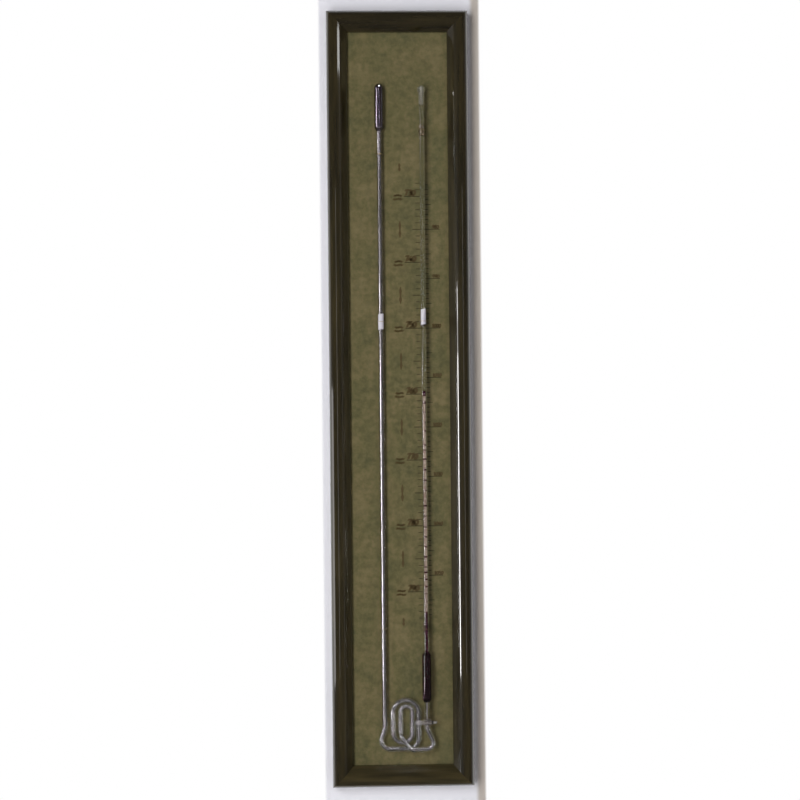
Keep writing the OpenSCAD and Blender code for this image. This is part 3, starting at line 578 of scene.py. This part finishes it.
def tube_shell(name, path, skins, finish, sides=40):
    # skins: (radius, flip) pairs, the outer skin and the bore; radius may be a list along the path
    ways = []
    for i in range(len(path)):
        ways.append((path[min(i + 1, len(path) - 1)] - path[max(i - 1, 0)]).normalized())
    side = ways[0].orthogonal().normalized()
    sides_at = []
    for way in ways:
        side = (side - way * side.dot(way)).normalized()
        sides_at.append((side.copy(), way.cross(side)))
    points, faces = [], []
    for radius, flip in skins:
        faces += ring_quads(len(points), len(path), sides, flip)
        for i, (across, up) in enumerate(sides_at):
            r = radius[i] if isinstance(radius, list) else radius
            for s in range(sides):
                a = 2 * math.pi * s / sides
                points.append(tuple(path[i] + (across * math.cos(a) + up * math.sin(a)) * r))
    return make_piece(name, points, faces, finish)


foot_path = bent_path((LIMB_X, LIMB_Y, LIMB_FOOT_Z), (0, 0, -1), (-1, 0, 0),
                      [(0, FOOT_LEAN_R, FOOT_LEAN, 0), (FOOT_DROP, HEEL_R, 90 + FOOT_LEAN, 180)])
outer_r = (TURN_RIGHT - TURN_LEFT) / 2
foot_r = (INNER_RIGHT - TURN_LEFT) / 2
inner_r = (INNER_RIGHT - INNER_LEFT) / 2
trap_path = bent_path((RUN_START_X, LIMB_Y, RUN_Z), (1, 0, 0), (0, 0, -1), [
    (TURN_RIGHT - RISE_R - RUN_START_X, RISE_R, 90, 180),
    (TURN_TOP - outer_r - RUN_Z - RISE_R, outer_r, 180, 0),
    (TURN_TOP - outer_r - INNER_FOOT - foot_r, foot_r, 180, 0),
    (INNER_TOP - inner_r - INNER_FOOT - foot_r, inner_r, 180, 0),
    (INNER_TOP - inner_r - RUN_Z - TAIL_RISE, 0, 0, 0)])
steep = math.radians(SLOPE)
slope_top = RUN_Z + TAIL_RISE - TURN_R * (1 + math.sin(steep))
slope_l = (slope_top - RUN_Z - SLOPE_R * (1 - math.cos(steep))) / math.sin(steep)
crossing_path = bent_path((INNER_LEFT, LIMB_Y, RUN_Z + TAIL_RISE), (0, 0, -1), (-1, 0, 0), [
    (0, TURN_R, 90, -90), (0, TURN_R, 90, -90 - SLOPE), (slope_l, SLOPE_R, SLOPE, 90)])
worked_glass = clear_glass("worked_glass", (0.94, 0.95, 0.93), 0.0, 0.025, 0.965)[0]
bent_glass = []
for name, path, radius, node in (("glass_limb_foot", foot_path, TUBE_R, "limb_foot"),
                                 ("glass_trap_coil", trap_path, TUBE_R, "trap_coil"),
                                 ("glass_crossing_tube", crossing_path, CROSSING_R, "crossing_tube")):
    last = len(path) - 1
    skin_r = [TUBE_R + (radius - TUBE_R) * min(1, i / TAPER, (last - i) / TAPER) for i in range(len(path))]
    run = tube_shell(name, path, [(skin_r, False), (TRAP_BORE_R, True)], worked_glass)
    bent_glass.append(run)
    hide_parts(node)

# Glass, lower bend and tap: a short run and corner that leans back to the tap. The barrel is a short
# cross tube, ground inside, and the key is a tapered ground plug with a flat grip on the left and a
# rubber ring on its tail.
BEND_OUT, BEND_R, LEAN_R, BEND_LEAN = 0.008, 0.009, 0.012, 25
CROSSING_END_X = crossing_path[-1].x
BEND_START_X = READING_X + BEND_OUT - BEND_R
lean = math.radians(BEND_LEAN)
slant = (BEND_START_X + BEND_R * math.cos(lean) - LEAN_R * (1 - math.cos(lean)) - READING_X) / math.sin(lean)
bend_path = bent_path((CROSSING_END_X, LEG_Y, RUN_Z), (1, 0, 0), (0, 0, 1),
                      [(BEND_START_X - CROSSING_END_X, BEND_R, 90 + BEND_LEAN, 0),
                       (slant, LEAN_R, BEND_LEAN, 180)])
lower = tube_shell("glass_lower_bend", bend_path, [(TUBE_R, False), (TRAP_BORE_R, True)], worked_glass)
bent_glass.append(lower)
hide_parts("lower_bend")
ground_glass, ground_skin = clear_glass("ground_glass", (0.93, 0.9, 0.9), 0.05, 0.1, 0.96)
relief(ground_glass, ground_skin, cloudy(ground_glass, 2600, 3), 0.0001, 0.3)
finish_node("tap_barrel", ground_glass)
frosted, frosted_skin = clear_glass("frosted_glass", (0.82, 0.79, 0.78), 0.18, 0.1, 0.78)
relief(frosted, frosted_skin, cloudy(frosted, 2200, 3), 0.0001, 0.4)
finish_node("tap_key", frosted)
rubber, rubber_skin = mottled("black_rubber", (0.03, 0.028, 0.025), 0.7, 0.0, (900, 3),
                              [(0.3, (0.02, 0.018, 0.016)), (0.7, (0.045, 0.042, 0.038))])[:2]
relief(rubber, rubber_skin, cloudy(rubber, 3000, 3), 0.0001, 0.3)
finish_node("tap_ring", rubber)

# Glass, cistern and reading tube: the lower bulb on its narrow neck, and above it the long tube with the
# fine bore, which widens at its mouth and ends in a thick fire-polished bead.
CISTERN_Z, CISTERN_TOP, NECK_FOOT = -0.420688, -0.351188, -0.442188
READING_BORE_R, NECK_BORE_R = 0.00084, 0.0004
MOUTH_Z, MOUTH_R, MOUTH_BORE_R, BEAD_Z, BEAD_R = 0.403812, 0.0040, 0.0015, 0.427478, 0.0055
FLAT_BORE = 1.7     # the fine bore is drawn flat, so that its thread looks broad, and has the same area
cistern_outer = (straight(TUBE_R, NECK_FOOT, CISTERN_Z - TUBE_STOP, 4)
                 + eased(TUBE_R, CISTERN_Z - SWELL_GAP, BULB_R, CISTERN_Z + SHOULDER)
                 + straight(BULB_R, CISTERN_Z + PAST_SHOULDER, CISTERN_TOP - PAST_SHOULDER, 12)
                 + eased(BULB_R, CISTERN_TOP - SHOULDER, READING_R, CISTERN_TOP + SWELL_GAP))
cistern_inner = (straight(NECK_BORE_R, NECK_FOOT, CISTERN_Z - BORE_GAP, 2)
                 + eased(NECK_BORE_R, CISTERN_Z, BULB_BORE_R, CISTERN_Z + BORE_SHOULDER)
                 + straight(BULB_BORE_R, CISTERN_Z + PAST_BORE_SHOULDER, CISTERN_TOP - PAST_BORE_SHOULDER, 12)
                 + eased(BULB_BORE_R, CISTERN_TOP - BORE_SHOULDER, READING_BORE_R, CISTERN_TOP + SWELL_GAP))
bulb = turned("glass_cistern", READING_X, LEG_Y, cistern_outer, cistern_inner, glass, flat=FLAT_BORE)
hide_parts("cistern")
bead_top = BEAD_Z + BEAD_R * math.sin(math.acos(MOUTH_BORE_R / BEAD_R))
# the mouth widens from 3 mm below MOUTH_Z to 2 mm above it outside, and to 3 mm above it in its bore
reading_outer = (straight(READING_R, CISTERN_TOP + SWELL_GAP, MOUTH_Z - 0.004, 60)
                 + eased(READING_R, MOUTH_Z - 0.003, MOUTH_R, MOUTH_Z + 0.002)
                 + straight(MOUTH_R, MOUTH_Z + 0.004, BEAD_Z - BEAD_R * 0.8, 3)
                 + dome(BEAD_R, BEAD_Z, -42, 74, 24))
reading_inner = (straight(READING_BORE_R, CISTERN_TOP + SWELL_GAP, MOUTH_Z - 0.004, 60)
                 + eased(READING_BORE_R, MOUTH_Z - 0.003, MOUTH_BORE_R, MOUTH_Z + 0.003)
                 + straight(MOUTH_BORE_R, MOUTH_Z + 0.005, bead_top, 4))
reading = turned("glass_reading_tube", READING_X, LEG_Y, reading_outer, reading_inner, glass, flat=FLAT_BORE)
mouth_glass, mouth_skin = clear_glass("mouth_glass", (0.95, 0.95, 0.92), 0.0, 0.06, 0.95)
relief(mouth_glass, mouth_skin, cloudy(mouth_glass, 380, 1), 0.0006, 0.45)
reading.data.materials.append(mouth_glass)
for face in reading.data.polygons:
    if face.center.z > MOUTH_Z + 0.003:
        face.material_index = 1
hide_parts("reading_tube")

# Mercury: it fills the closed limb, both turns of the trap, the crossing, the bend, the key's hole and
# the neck, and half of each bulb. Its skin is a clean mirror that bulges at each level. In the bulbs and
# the bent tubes it is painted darker, as a painted reflection of a dark room, and above the level in the
# upper bulb a thin film lines the glass, painted dark in the same way.
TAP_Z, KEY_TOP = -0.448688, 0.0029
SNUG, FILM_SNUG, FILM_LAP = 0.00002, 0.00004, 0.003
UPPER_LEVEL, CISTERN_LEVEL, LEVEL_H = 0.402062, -0.387938, 0.004
UNDER_LEVEL, RIM_ROUND, RIM_RISE, RIM_STEPS = 0.001, 0.0012, 0.0009, 12
CROWN_GAP, CROWN_BULGE, NECK_MOUTH_R, NECK_MOUTH_H = 0.00005, 0.0001, 0.0012, 0.0016


def liquid_metal(name, low, high, haze=0.07, alpha=1.0):
    finish, skin = mottled(name, low, haze, 1.0, (160, 2), [(0.3, low), (0.7, high)])[:2]
    relief(finish, skin, cloudy(finish, 40, 2, (1, 1, 0.2)), 0.0002, 0.03)
    skin.inputs["Alpha"].default_value = alpha
    return finish


quicksilver = liquid_metal("quicksilver", (0.44, 0.41, 0.44), (0.54, 0.51, 0.54))
# painted shade: the three copies below are the same mercury painted darker, a painted reflection of a dark
# room
upper_silver_painted_shade = liquid_metal("upper_quicksilver_painted_shade", (0.15, 0.125, 0.17), (0.24, 0.21, 0.26), 0.03)
bent_silver_painted_shade = liquid_metal("bent_quicksilver_painted_shade", (0.22, 0.205, 0.22), (0.31, 0.29, 0.31), 0.04)
lower_silver_painted_shade = liquid_metal("lower_quicksilver_painted_shade", (0.026, 0.010, 0.018), (0.055, 0.022, 0.036), 0.14)
limb_core = (eased(TRAP_BORE_R + SNUG, LIMB_FOOT_Z, LIMB_BORE_R + SNUG, LIMB_FOOT_Z + FOOT_TAPER)
             + straight(LIMB_BORE_R + SNUG, LIMB_FOOT_Z + PAST_TAPER, UPPER_FOOT, 40))
core = turned("mercury_in_limb", LIMB_X, LIMB_Y, limb_core, None, quicksilver, 40)
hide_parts("mercury_limb")
for name, path, node in (("mercury_in_foot", foot_path, "mercury_foot"),
                         ("mercury_in_trap", trap_path, "mercury_trap"),
                         ("mercury_in_crossing", crossing_path, "mercury_crossing"),
                         ("mercury_in_bend", bend_path, "mercury_bend")):
    thread = tube_shell(name, path, [(TRAP_BORE_R + SNUG, False)], bent_silver_painted_shade, 32)
    bent_glass.append(thread)
    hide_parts(node)
neck_core = (straight(NECK_BORE_R + SNUG, TAP_Z + KEY_TOP, CISTERN_Z - BORE_GAP, 4)
             + eased(NECK_BORE_R + SNUG, CISTERN_Z, NECK_MOUTH_R, CISTERN_Z + NECK_MOUTH_H, 4))
neck = turned("mercury_in_neck", READING_X, LEG_Y, neck_core, None, quicksilver, 32, flat=FLAT_BORE)
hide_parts("mercury_neck")
for node in ("mercury_inlet", "mercury_key"):
    finish_node(node, quicksilver)
fill_r = BULB_BORE_R + SNUG
upper_fill = (eased(LIMB_BORE_R + SNUG, UPPER_FOOT + BORE_GAP, fill_r, UPPER_FOOT + BORE_SHOULDER)
              + straight(fill_r, UPPER_FOOT + PAST_BORE_SHOULDER, UPPER_LEVEL + UNDER_LEVEL, 24)
              + [(TIP_R, UPPER_LEVEL + RIM_ROUND)])
pool = turned("mercury_in_upper_bulb", LIMB_X, LIMB_Y, upper_fill, None, upper_silver_painted_shade, body=None)
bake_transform(pool)
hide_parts("mercury_upper")
film_r = BULB_BORE_R + FILM_SNUG
above = (straight(film_r, UPPER_LEVEL - FILM_LAP, UPPER_TOP - BULB_R, 6)[:-1]
         + dome(film_r, UPPER_TOP - BULB_R, 0, 82))
# painted reflection: a thin part-clear film over the glass above the level, painted dark for the dark room
# that the bulb reflects
silvery_film_painted_shade = liquid_metal("silvery_film_painted_shade", (0.13, 0.105, 0.15), (0.22, 0.19, 0.245), 0.03, 0.82)
turned("film_above_level", LIMB_X, LIMB_Y, above, None, silvery_film_painted_shade)
cistern_fill = (eased(NECK_BORE_R + SNUG, CISTERN_Z, fill_r, CISTERN_Z + BORE_SHOULDER)
                + straight(fill_r, CISTERN_Z + PAST_BORE_SHOULDER, CISTERN_LEVEL + UNDER_LEVEL, 24)
                + [(TIP_R, CISTERN_LEVEL + RIM_ROUND)])
lower_pool = turned("mercury_in_cistern", READING_X, LEG_Y, cistern_fill, None, lower_silver_painted_shade, body=None,
                    flat=FLAT_BORE)
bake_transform(lower_pool)
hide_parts("mercury_cistern")
for name, x, y, z, finish, node, body in (
        ("upper_level", LIMB_X, LIMB_Y, UPPER_LEVEL, upper_silver_painted_shade, "mercury_upper_level",
         "mercury_top_level"),
        ("cistern_level", READING_X, LEG_Y, CISTERN_LEVEL, lower_silver_painted_shade, "mercury_cistern_level",
         "mercury_foot_level")):
    crown = [(TIP_R, z), (fill_r - CROWN_GAP, z)]
    for k in range(RIM_STEPS + 1):
        a = math.radians(90 * k / RIM_STEPS)
        rim_z = z + LEVEL_H - RIM_ROUND + RIM_RISE * math.sin(a)
        crown.append((fill_r - RIM_ROUND + RIM_ROUND * math.cos(a), rim_z))
    crown += [(fill_r * 0.5, z + LEVEL_H - CROWN_BULGE), (TIP_R, z + LEVEL_H)]
    level = turned(name, x, y, crown, None, finish, body=body)
    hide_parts(node)

# Dyed liquid: it stands on the mercury in the lower bulb and rises into the fine bore. Low down it is
# one dark purple thread, and higher up the bore holds a pale pink thread with dark beads of liquid in it;
# that pale pink is a painted highlight on the liquid. Its top is hollow, where it clings to the glass.
SEAT_Z, THREAD_TOP, THREAD_SUNK, READING_Z = -0.353165, -0.2955, 0.004, 0.010812
THREAD_SIDES, THREAD_STEPS, FILM_STEPS = 28, 24, 160
COLUMN_START, COLUMN_END = SEAT_Z - 0.070, READING_Z - 0.005
# the middles of the beads, in millimetres of height
BEADS = (3.9, -5.2, -7.2, -19.2, -33, -45.2, -64.6, -71.6, -84, -98.8, -113.3, -127.5, -148.6, -162.9,
         -178.2, -191.8, -205.4, -219.3, -233.5, -240.7, -250.4, -260.8, -270.4, -281.5)
BEAD_SIDES, BEAD_STEPS, BEAD_HALF, BEAD_WIDE = 24, 8, 0.0016, 1.12
plum, plum_skin = mottled("plum_liquid", (0.03, 0.008, 0.022), 0.12, 0.0, (200, 3),
                          [(0.3, (0.022, 0.006, 0.014)), (0.7, (0.06, 0.014, 0.026))])[:2]
plum_skin.inputs["Specular IOR Level"].default_value = 0.1
relief(plum, plum_skin, cloudy(plum, 150, 2), 0.0002, 0.05)
# painted highlight: the liquid higher in the bore is painted pale pink, for the bright strip that the bore
# reflects
pink, pink_skin = mottled("pale_pink_painted_highlight", (0.5, 0.4, 0.39), 0.25, 0.0, (420, 4),
                          [(0.3, (0.26, 0.16, 0.13)), (0.6, (0.42, 0.33, 0.27)),
                           (0.8, (0.54, 0.45, 0.38))])[:2]
relief(pink, pink_skin, cloudy(pink, 900, 2), 0.0002, 0.2)
thread_r = READING_BORE_R + SNUG
dyed = (straight(fill_r, CISTERN_LEVEL + LEVEL_H - RIM_ROUND, CISTERN_TOP - PAST_BORE_SHOULDER, 24)
        + eased(fill_r, CISTERN_TOP - BORE_SHOULDER, thread_r, CISTERN_TOP + SWELL_GAP))
dyed_bulb = turned("dyed_liquid_in_cistern", READING_X, LEG_Y, dyed, None, plum, body=None, flat=FLAT_BORE)
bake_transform(dyed_bulb)
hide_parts("liquid_cistern")
thread_foot, thread_l = SEAT_Z - THREAD_SUNK, THREAD_TOP - SEAT_Z + THREAD_SUNK
lower_part = [(thread_r, thread_foot + thread_l * k / THREAD_STEPS) for k in range(THREAD_STEPS + 1)]
thread = turned("dyed_thread", READING_X, LEG_Y, lower_part, None, plum, THREAD_SIDES, None, FLAT_BORE)
film_l = COLUMN_END - THREAD_TOP
filmed = [(thread_r, THREAD_TOP + film_l * k / FILM_STEPS) for k in range(FILM_STEPS + 1)]
film = turned("pink_thread", READING_X, LEG_Y, filmed, None, pink, THREAD_SIDES, None, FLAT_BORE)
points, faces = [], []
for place in BEADS:
    z = place / 1000
    half = BEAD_HALF + 0.0005 * math.sin(place * 7.3)
    faces += ring_quads(len(points), BEAD_STEPS + 1, BEAD_SIDES)
    for k in range(BEAD_STEPS + 1):
        a = math.pi * k / BEAD_STEPS
        r = READING_BORE_R * BEAD_WIDE * math.sin(a) ** 0.4 if 0 < k < BEAD_STEPS else TIP_R
        for s in range(BEAD_SIDES):
            b = 2 * math.pi * s / BEAD_SIDES
            points.append((READING_X + r * FLAT_BORE * math.cos(b), LEG_Y + r / FLAT_BORE * math.sin(b),
                           z - half * math.cos(a)))
beads = make_piece("dark_beads", points, faces, plum, None)
for piece in (thread, film, beads):
    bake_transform(piece)
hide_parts("liquid_column")
top = [(thread_r, COLUMN_END - 0.001), (thread_r, READING_Z - 0.0004),
       (READING_BORE_R * 0.6, READING_Z - 0.0009), (TIP_R, READING_Z - 0.0011)]
meniscus = turned("dyed_meniscus", READING_X, LEG_Y, top, None, plum, THREAD_SIDES, "reading_level",
                  FLAT_BORE)
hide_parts("liquid_reading")

# Wall and floor: a plain pale painted plaster wall right behind the frame, greyer on the right, and a pale
# floor below the view. Outside a strip round the frame the wall shows as plain white, as the background in
# the photograph does, and from behind it is clear.
WALL_Y, ROOM_SIDE, ROOM_DEPTH, ROOM_TOP, FLOOR_Z = 0.0008, 4, 6, 3, -0.9
SHADOW_FROM, SHADOW_TO = 0.1005, 0.108
# the strip's edges: axis, way, where the white starts and over what width it comes
STRIP = (("X", 1, 0.1135, 0.004), ("X", -1, 0.106, 0.004), ("Z", 1, 0.56, 0.07), ("Z", -1, 0.56, 0.07))


def soft_edge(tree, value, start, stop):
    edge = tree.nodes.new("ShaderNodeMapRange")
    edge.interpolation_type = "SMOOTHSTEP"
    edge.inputs["From Min"].default_value = start
    edge.inputs["From Max"].default_value = stop
    tree.links.new(value, edge.inputs["Value"])
    return edge.outputs["Result"]


def combined(tree, way, one, other):
    both = tree.nodes.new("ShaderNodeMath")
    both.operation = way
    tree.links.new(one, both.inputs[0])
    tree.links.new(other, both.inputs[1])
    return both.outputs["Value"]


def either_shader(tree, fac, under, over):
    mix = tree.nodes.new("ShaderNodeMixShader")
    tree.links.new(fac, mix.inputs["Fac"])
    tree.links.new(under, mix.inputs[1])
    tree.links.new(over, mix.inputs[2])
    return mix.outputs["Shader"]


wall, wall_skin = paint("wall_paint", (0.84, 0.83, 0.87), 0.9)
tree = wall.node_tree
place = tree.nodes.new("ShaderNodeSeparateXYZ")
spot = tree.nodes.new("ShaderNodeTexCoord")
tree.links.new(spot.outputs["Object"], place.inputs["Vector"])
plain_wall_tone = tones(wall, cloudy(wall, 3, 3), [(0.3, (0.88, 0.88, 0.95)), (0.7, (0.92, 0.92, 0.98))])
# painted shadow: the wall is painted darker just right of the frame, where the frame's shadow falls
painted_shadow_tone = tones(wall, cloudy(wall, 5, 3), [(0.3, (0.52, 0.47, 0.43)), (0.7, (0.60, 0.55, 0.50))])
painted_shadow_mask = soft_edge(tree, place.outputs["X"], SHADOW_FROM, SHADOW_TO)
colour_from(wall, wall_skin, blend_tones(wall, painted_shadow_mask, plain_wall_tone, painted_shadow_tone))
outside = None
for axis, way, start, width in STRIP:
    fade = soft_edge(tree, place.outputs[axis], way * start, way * (start + width))
    outside = combined(tree, "MAXIMUM", outside, fade) if outside else fade
ray = tree.nodes.new("ShaderNodeLightPath")
seen = combined(tree, "MAXIMUM", ray.outputs["Is Camera Ray"], ray.outputs["Is Transmission Ray"])
seen = combined(tree, "MAXIMUM", seen, ray.outputs["Is Glossy Ray"])
glow = tree.nodes.new("ShaderNodeEmission")
painted = either_shader(tree, combined(tree, "MULTIPLY", outside, seen), wall_skin.outputs["BSDF"],
                        glow.outputs["Emission"])
facing = tree.nodes.new("ShaderNodeNewGeometry")
clear = tree.nodes.new("ShaderNodeBsdfTransparent")
shown = either_shader(tree, facing.outputs["Backfacing"], painted, clear.outputs["BSDF"])
tree.links.new(shown, tree.nodes["Material Output"].inputs["Surface"])
floor_paint = paint("floor_paint", (0.8, 0.79, 0.78), 0.8)[0]
left_foot, right_foot = (-ROOM_SIDE, WALL_Y, FLOOR_Z), (ROOM_SIDE, WALL_Y, FLOOR_Z)
backdrop = make_piece("wall", [left_foot, right_foot, (ROOM_SIDE, WALL_Y, ROOM_TOP),
                               (-ROOM_SIDE, WALL_Y, ROOM_TOP)], [(0, 1, 2, 3)], wall, None, False)
floor = make_piece("floor", [left_foot, (-ROOM_SIDE, -ROOM_DEPTH, FLOOR_Z), (ROOM_SIDE, -ROOM_DEPTH, FLOOR_Z),
                             right_foot], [(0, 1, 2, 3)], floor_paint, None, False)
floor.visible_glossy = False

# Light: a dim even room, with a wide soft panel on the left and a weak one on the right for the matt
# surfaces. A tall window with a bar stands on the left, and small windows at the sides and overhead show
# only as glints in the pieces that they reach.
scene = bpy.context.scene
world = bpy.data.worlds.new("room")
scene.world = world
world.use_nodes = True
world.node_tree.nodes["Background"].inputs["Color"].default_value = (1.0, 0.93, 0.86, 1)
world.node_tree.nodes["Background"].inputs["Strength"].default_value = 0.08


def lamp_panel(name, azimuth, distance, z, wide, high, radiance, mirrored, colour=(1, 1, 1), only=(), but=()):
    # a mirrored panel is seen in glass, mercury and lacquer, and any other only lights matt surfaces;
    # only names the pieces that it reaches, and but those that something in the room hides from it
    a = math.radians(azimuth)
    lamp = bpy.data.lights.new(name, "AREA")
    lamp.shape = "RECTANGLE"
    lamp.size, lamp.size_y = wide, high
    lamp.energy = radiance * wide * high * math.pi
    lamp.color = colour
    holder = bpy.data.objects.new(name, lamp)
    holder.location = (distance * math.sin(a), -distance * math.cos(a), z)
    aim = Vector((-math.sin(a), math.cos(a), 0))
    holder.rotation_euler = aim.to_track_quat("-Z", "Y").to_euler()
    holder.visible_diffuse = not mirrored
    holder.visible_glossy = mirrored
    holder.visible_transmission = mirrored
    scene.collection.objects.link(holder)
    if only or but:
        reached = bpy.data.collections.new(name + "_reach")
        for piece in (*only, *but):
            reached.objects.link(piece)
        for entry in reached.collection_objects:
            entry.light_linking.link_state = "EXCLUDE" if but else "INCLUDE"
        holder.light_linking.receiver_collection = reached
    return holder


WINDOW, WINDOW_W = (-68, 2.4), 0.36     # azimuth and distance of the tall window, and its width
lamp_panel("soft_panel", -24, 2.6, 0.0, 0.9, 2.6, 8.0, False)
lamp_panel("fill_panel", 30, 2.8, 0.2, 2.0, 2.4, 0.55, False)
# the shy pieces don't show the tall window, because they have glints of their own
shy = [lengths["left"], bulb]
rails = [lengths["top"], lengths["bottom"]]
daylight, warm_light = (1.0, 0.98, 0.99), (1.0, 0.97, 0.92)
lamp_panel("tall_window", *WINDOW, -0.3155, WINDOW_W, 0.867, 24.0, True, daylight, but=shy)
lamp_panel("window_bar", *WINDOW, 0.167, WINDOW_W, 0.095, 6.0, True, daylight, but=shy)
lamp_panel("window_head", *WINDOW, 0.26, WINDOW_W, 0.09, 13.0, True, daylight, but=shy)
lamp_panel("window_top", *WINDOW, 0.63, WINDOW_W, 0.65, 3.5, True, daylight,
           but=shy + rails + [lengths["right"]])
lamp_panel("window_sill", *WINDOW, -0.93, WINDOW_W, 0.34, 4.0, True, daylight, only=[limb, reading])
lamp_panel("window_side", -76, 2.4, -0.36, 1.5, 0.78, 2.6, True, daylight, only=[lengths["left"]])
lamp_panel("window_edge", -64, 2.4, -0.43, 0.4, 0.74, 10.0, True, daylight, only=[bulb, lower_pool])
lamp_panel("room_strip", 6, 3.2, -0.1, 0.12, 1.5, 2.6, True, (1.0, 0.97, 1.0), but=rails + bent_glass)
lamp_panel("right_strip", 70, 2.4, 0.1, 0.2, 2.2, 0.5, True, warm_light)
lamp_panel("high_window", 60, 2.4, 0.95, 1.3, 0.12, 5.0, True, only=[lengths["left"]])
lamp_panel("corner_window", 58, 2.4, 0.54, 0.4, 0.3, 26.0, True, only=bent_glass)
lamp_panel("corner_high_right", 58, 2.4, 1.5, 0.5, 1.3, 40.0, True, only=bent_glass)
lamp_panel("corner_high_left", -58, 2.4, 1.2, 0.5, 1.3, 40.0, True, only=bent_glass)
lamp_panel("coil_window", -74, 1.2, -0.66, 0.09, 0.45, 90.0, True, daylight, only=bent_glass)
lamp_panel("coil_room", 72, 1.2, -0.66, 0.08, 0.45, 60.0, True, only=bent_glass)
lamp_panel("bulb_window", -76, 2.4, 0.78, 0.26, 0.24, 12.0, True, (0.98, 0.95, 1.0), only=[limb, reading])
lamp_panel("bulb_room", 2, 3.2, 0.9, 0.14, 0.45, 7.0, True, (0.94, 0.86, 1.0), only=[limb])
lamp_panel("limb_room", -34, 2.8, -0.3, 2.0, 1.6, 0.35, True, (1.0, 0.95, 1.0), only=[limb])
crossing_glass = [piece for piece in bent_glass if "crossing" in piece.name]
crossing_ceiling = lamp_panel("crossing_ceiling", 10, 1.5, 2.2, 2.6, 1.8, 3.5, True, only=crossing_glass)
ceiling = lamp_panel("ceiling", 0, 1.6, 2.3, 2.4, 0.6, 7.0, True, only=bent_glass)
skylight = lamp_panel("skylight", 12, 1.2, 2.2, 1.0, 0.8, 60.0, True, only=[limb, reading])
for overhead in (ceiling, skylight, crossing_ceiling):
    overhead.rotation_euler = (0, 0, 0)

# Camera: a long lens almost square on, a little to the left, and tilted as in the photograph. At the
# board it takes in a square of 1.112 m.
CAMERA_FAR, SENSOR, VIEW_W, CAMERA_AZIMUTH, CAMERA_TILT = 2.6, 36, 1.112, -2.4, -0.55
azimuth = math.radians(CAMERA_AZIMUTH)
target = Vector((0.0, -0.012, -0.002))
lens = bpy.data.cameras.new("camera")
lens.lens = SENSOR * CAMERA_FAR / VIEW_W
lens.sensor_width = SENSOR
camera = bpy.data.objects.new("camera", lens)
camera.location = target + Vector((math.sin(azimuth), -math.cos(azimuth), 0)) * CAMERA_FAR
look = (target - camera.location).to_track_quat("-Z", "Y").to_matrix()
camera.rotation_euler = (look @ Matrix.Rotation(math.radians(CAMERA_TILT), 3, "Z")).to_euler()
scene.collection.objects.link(camera)
scene.camera = camera
scene.view_settings.view_transform = "Standard"
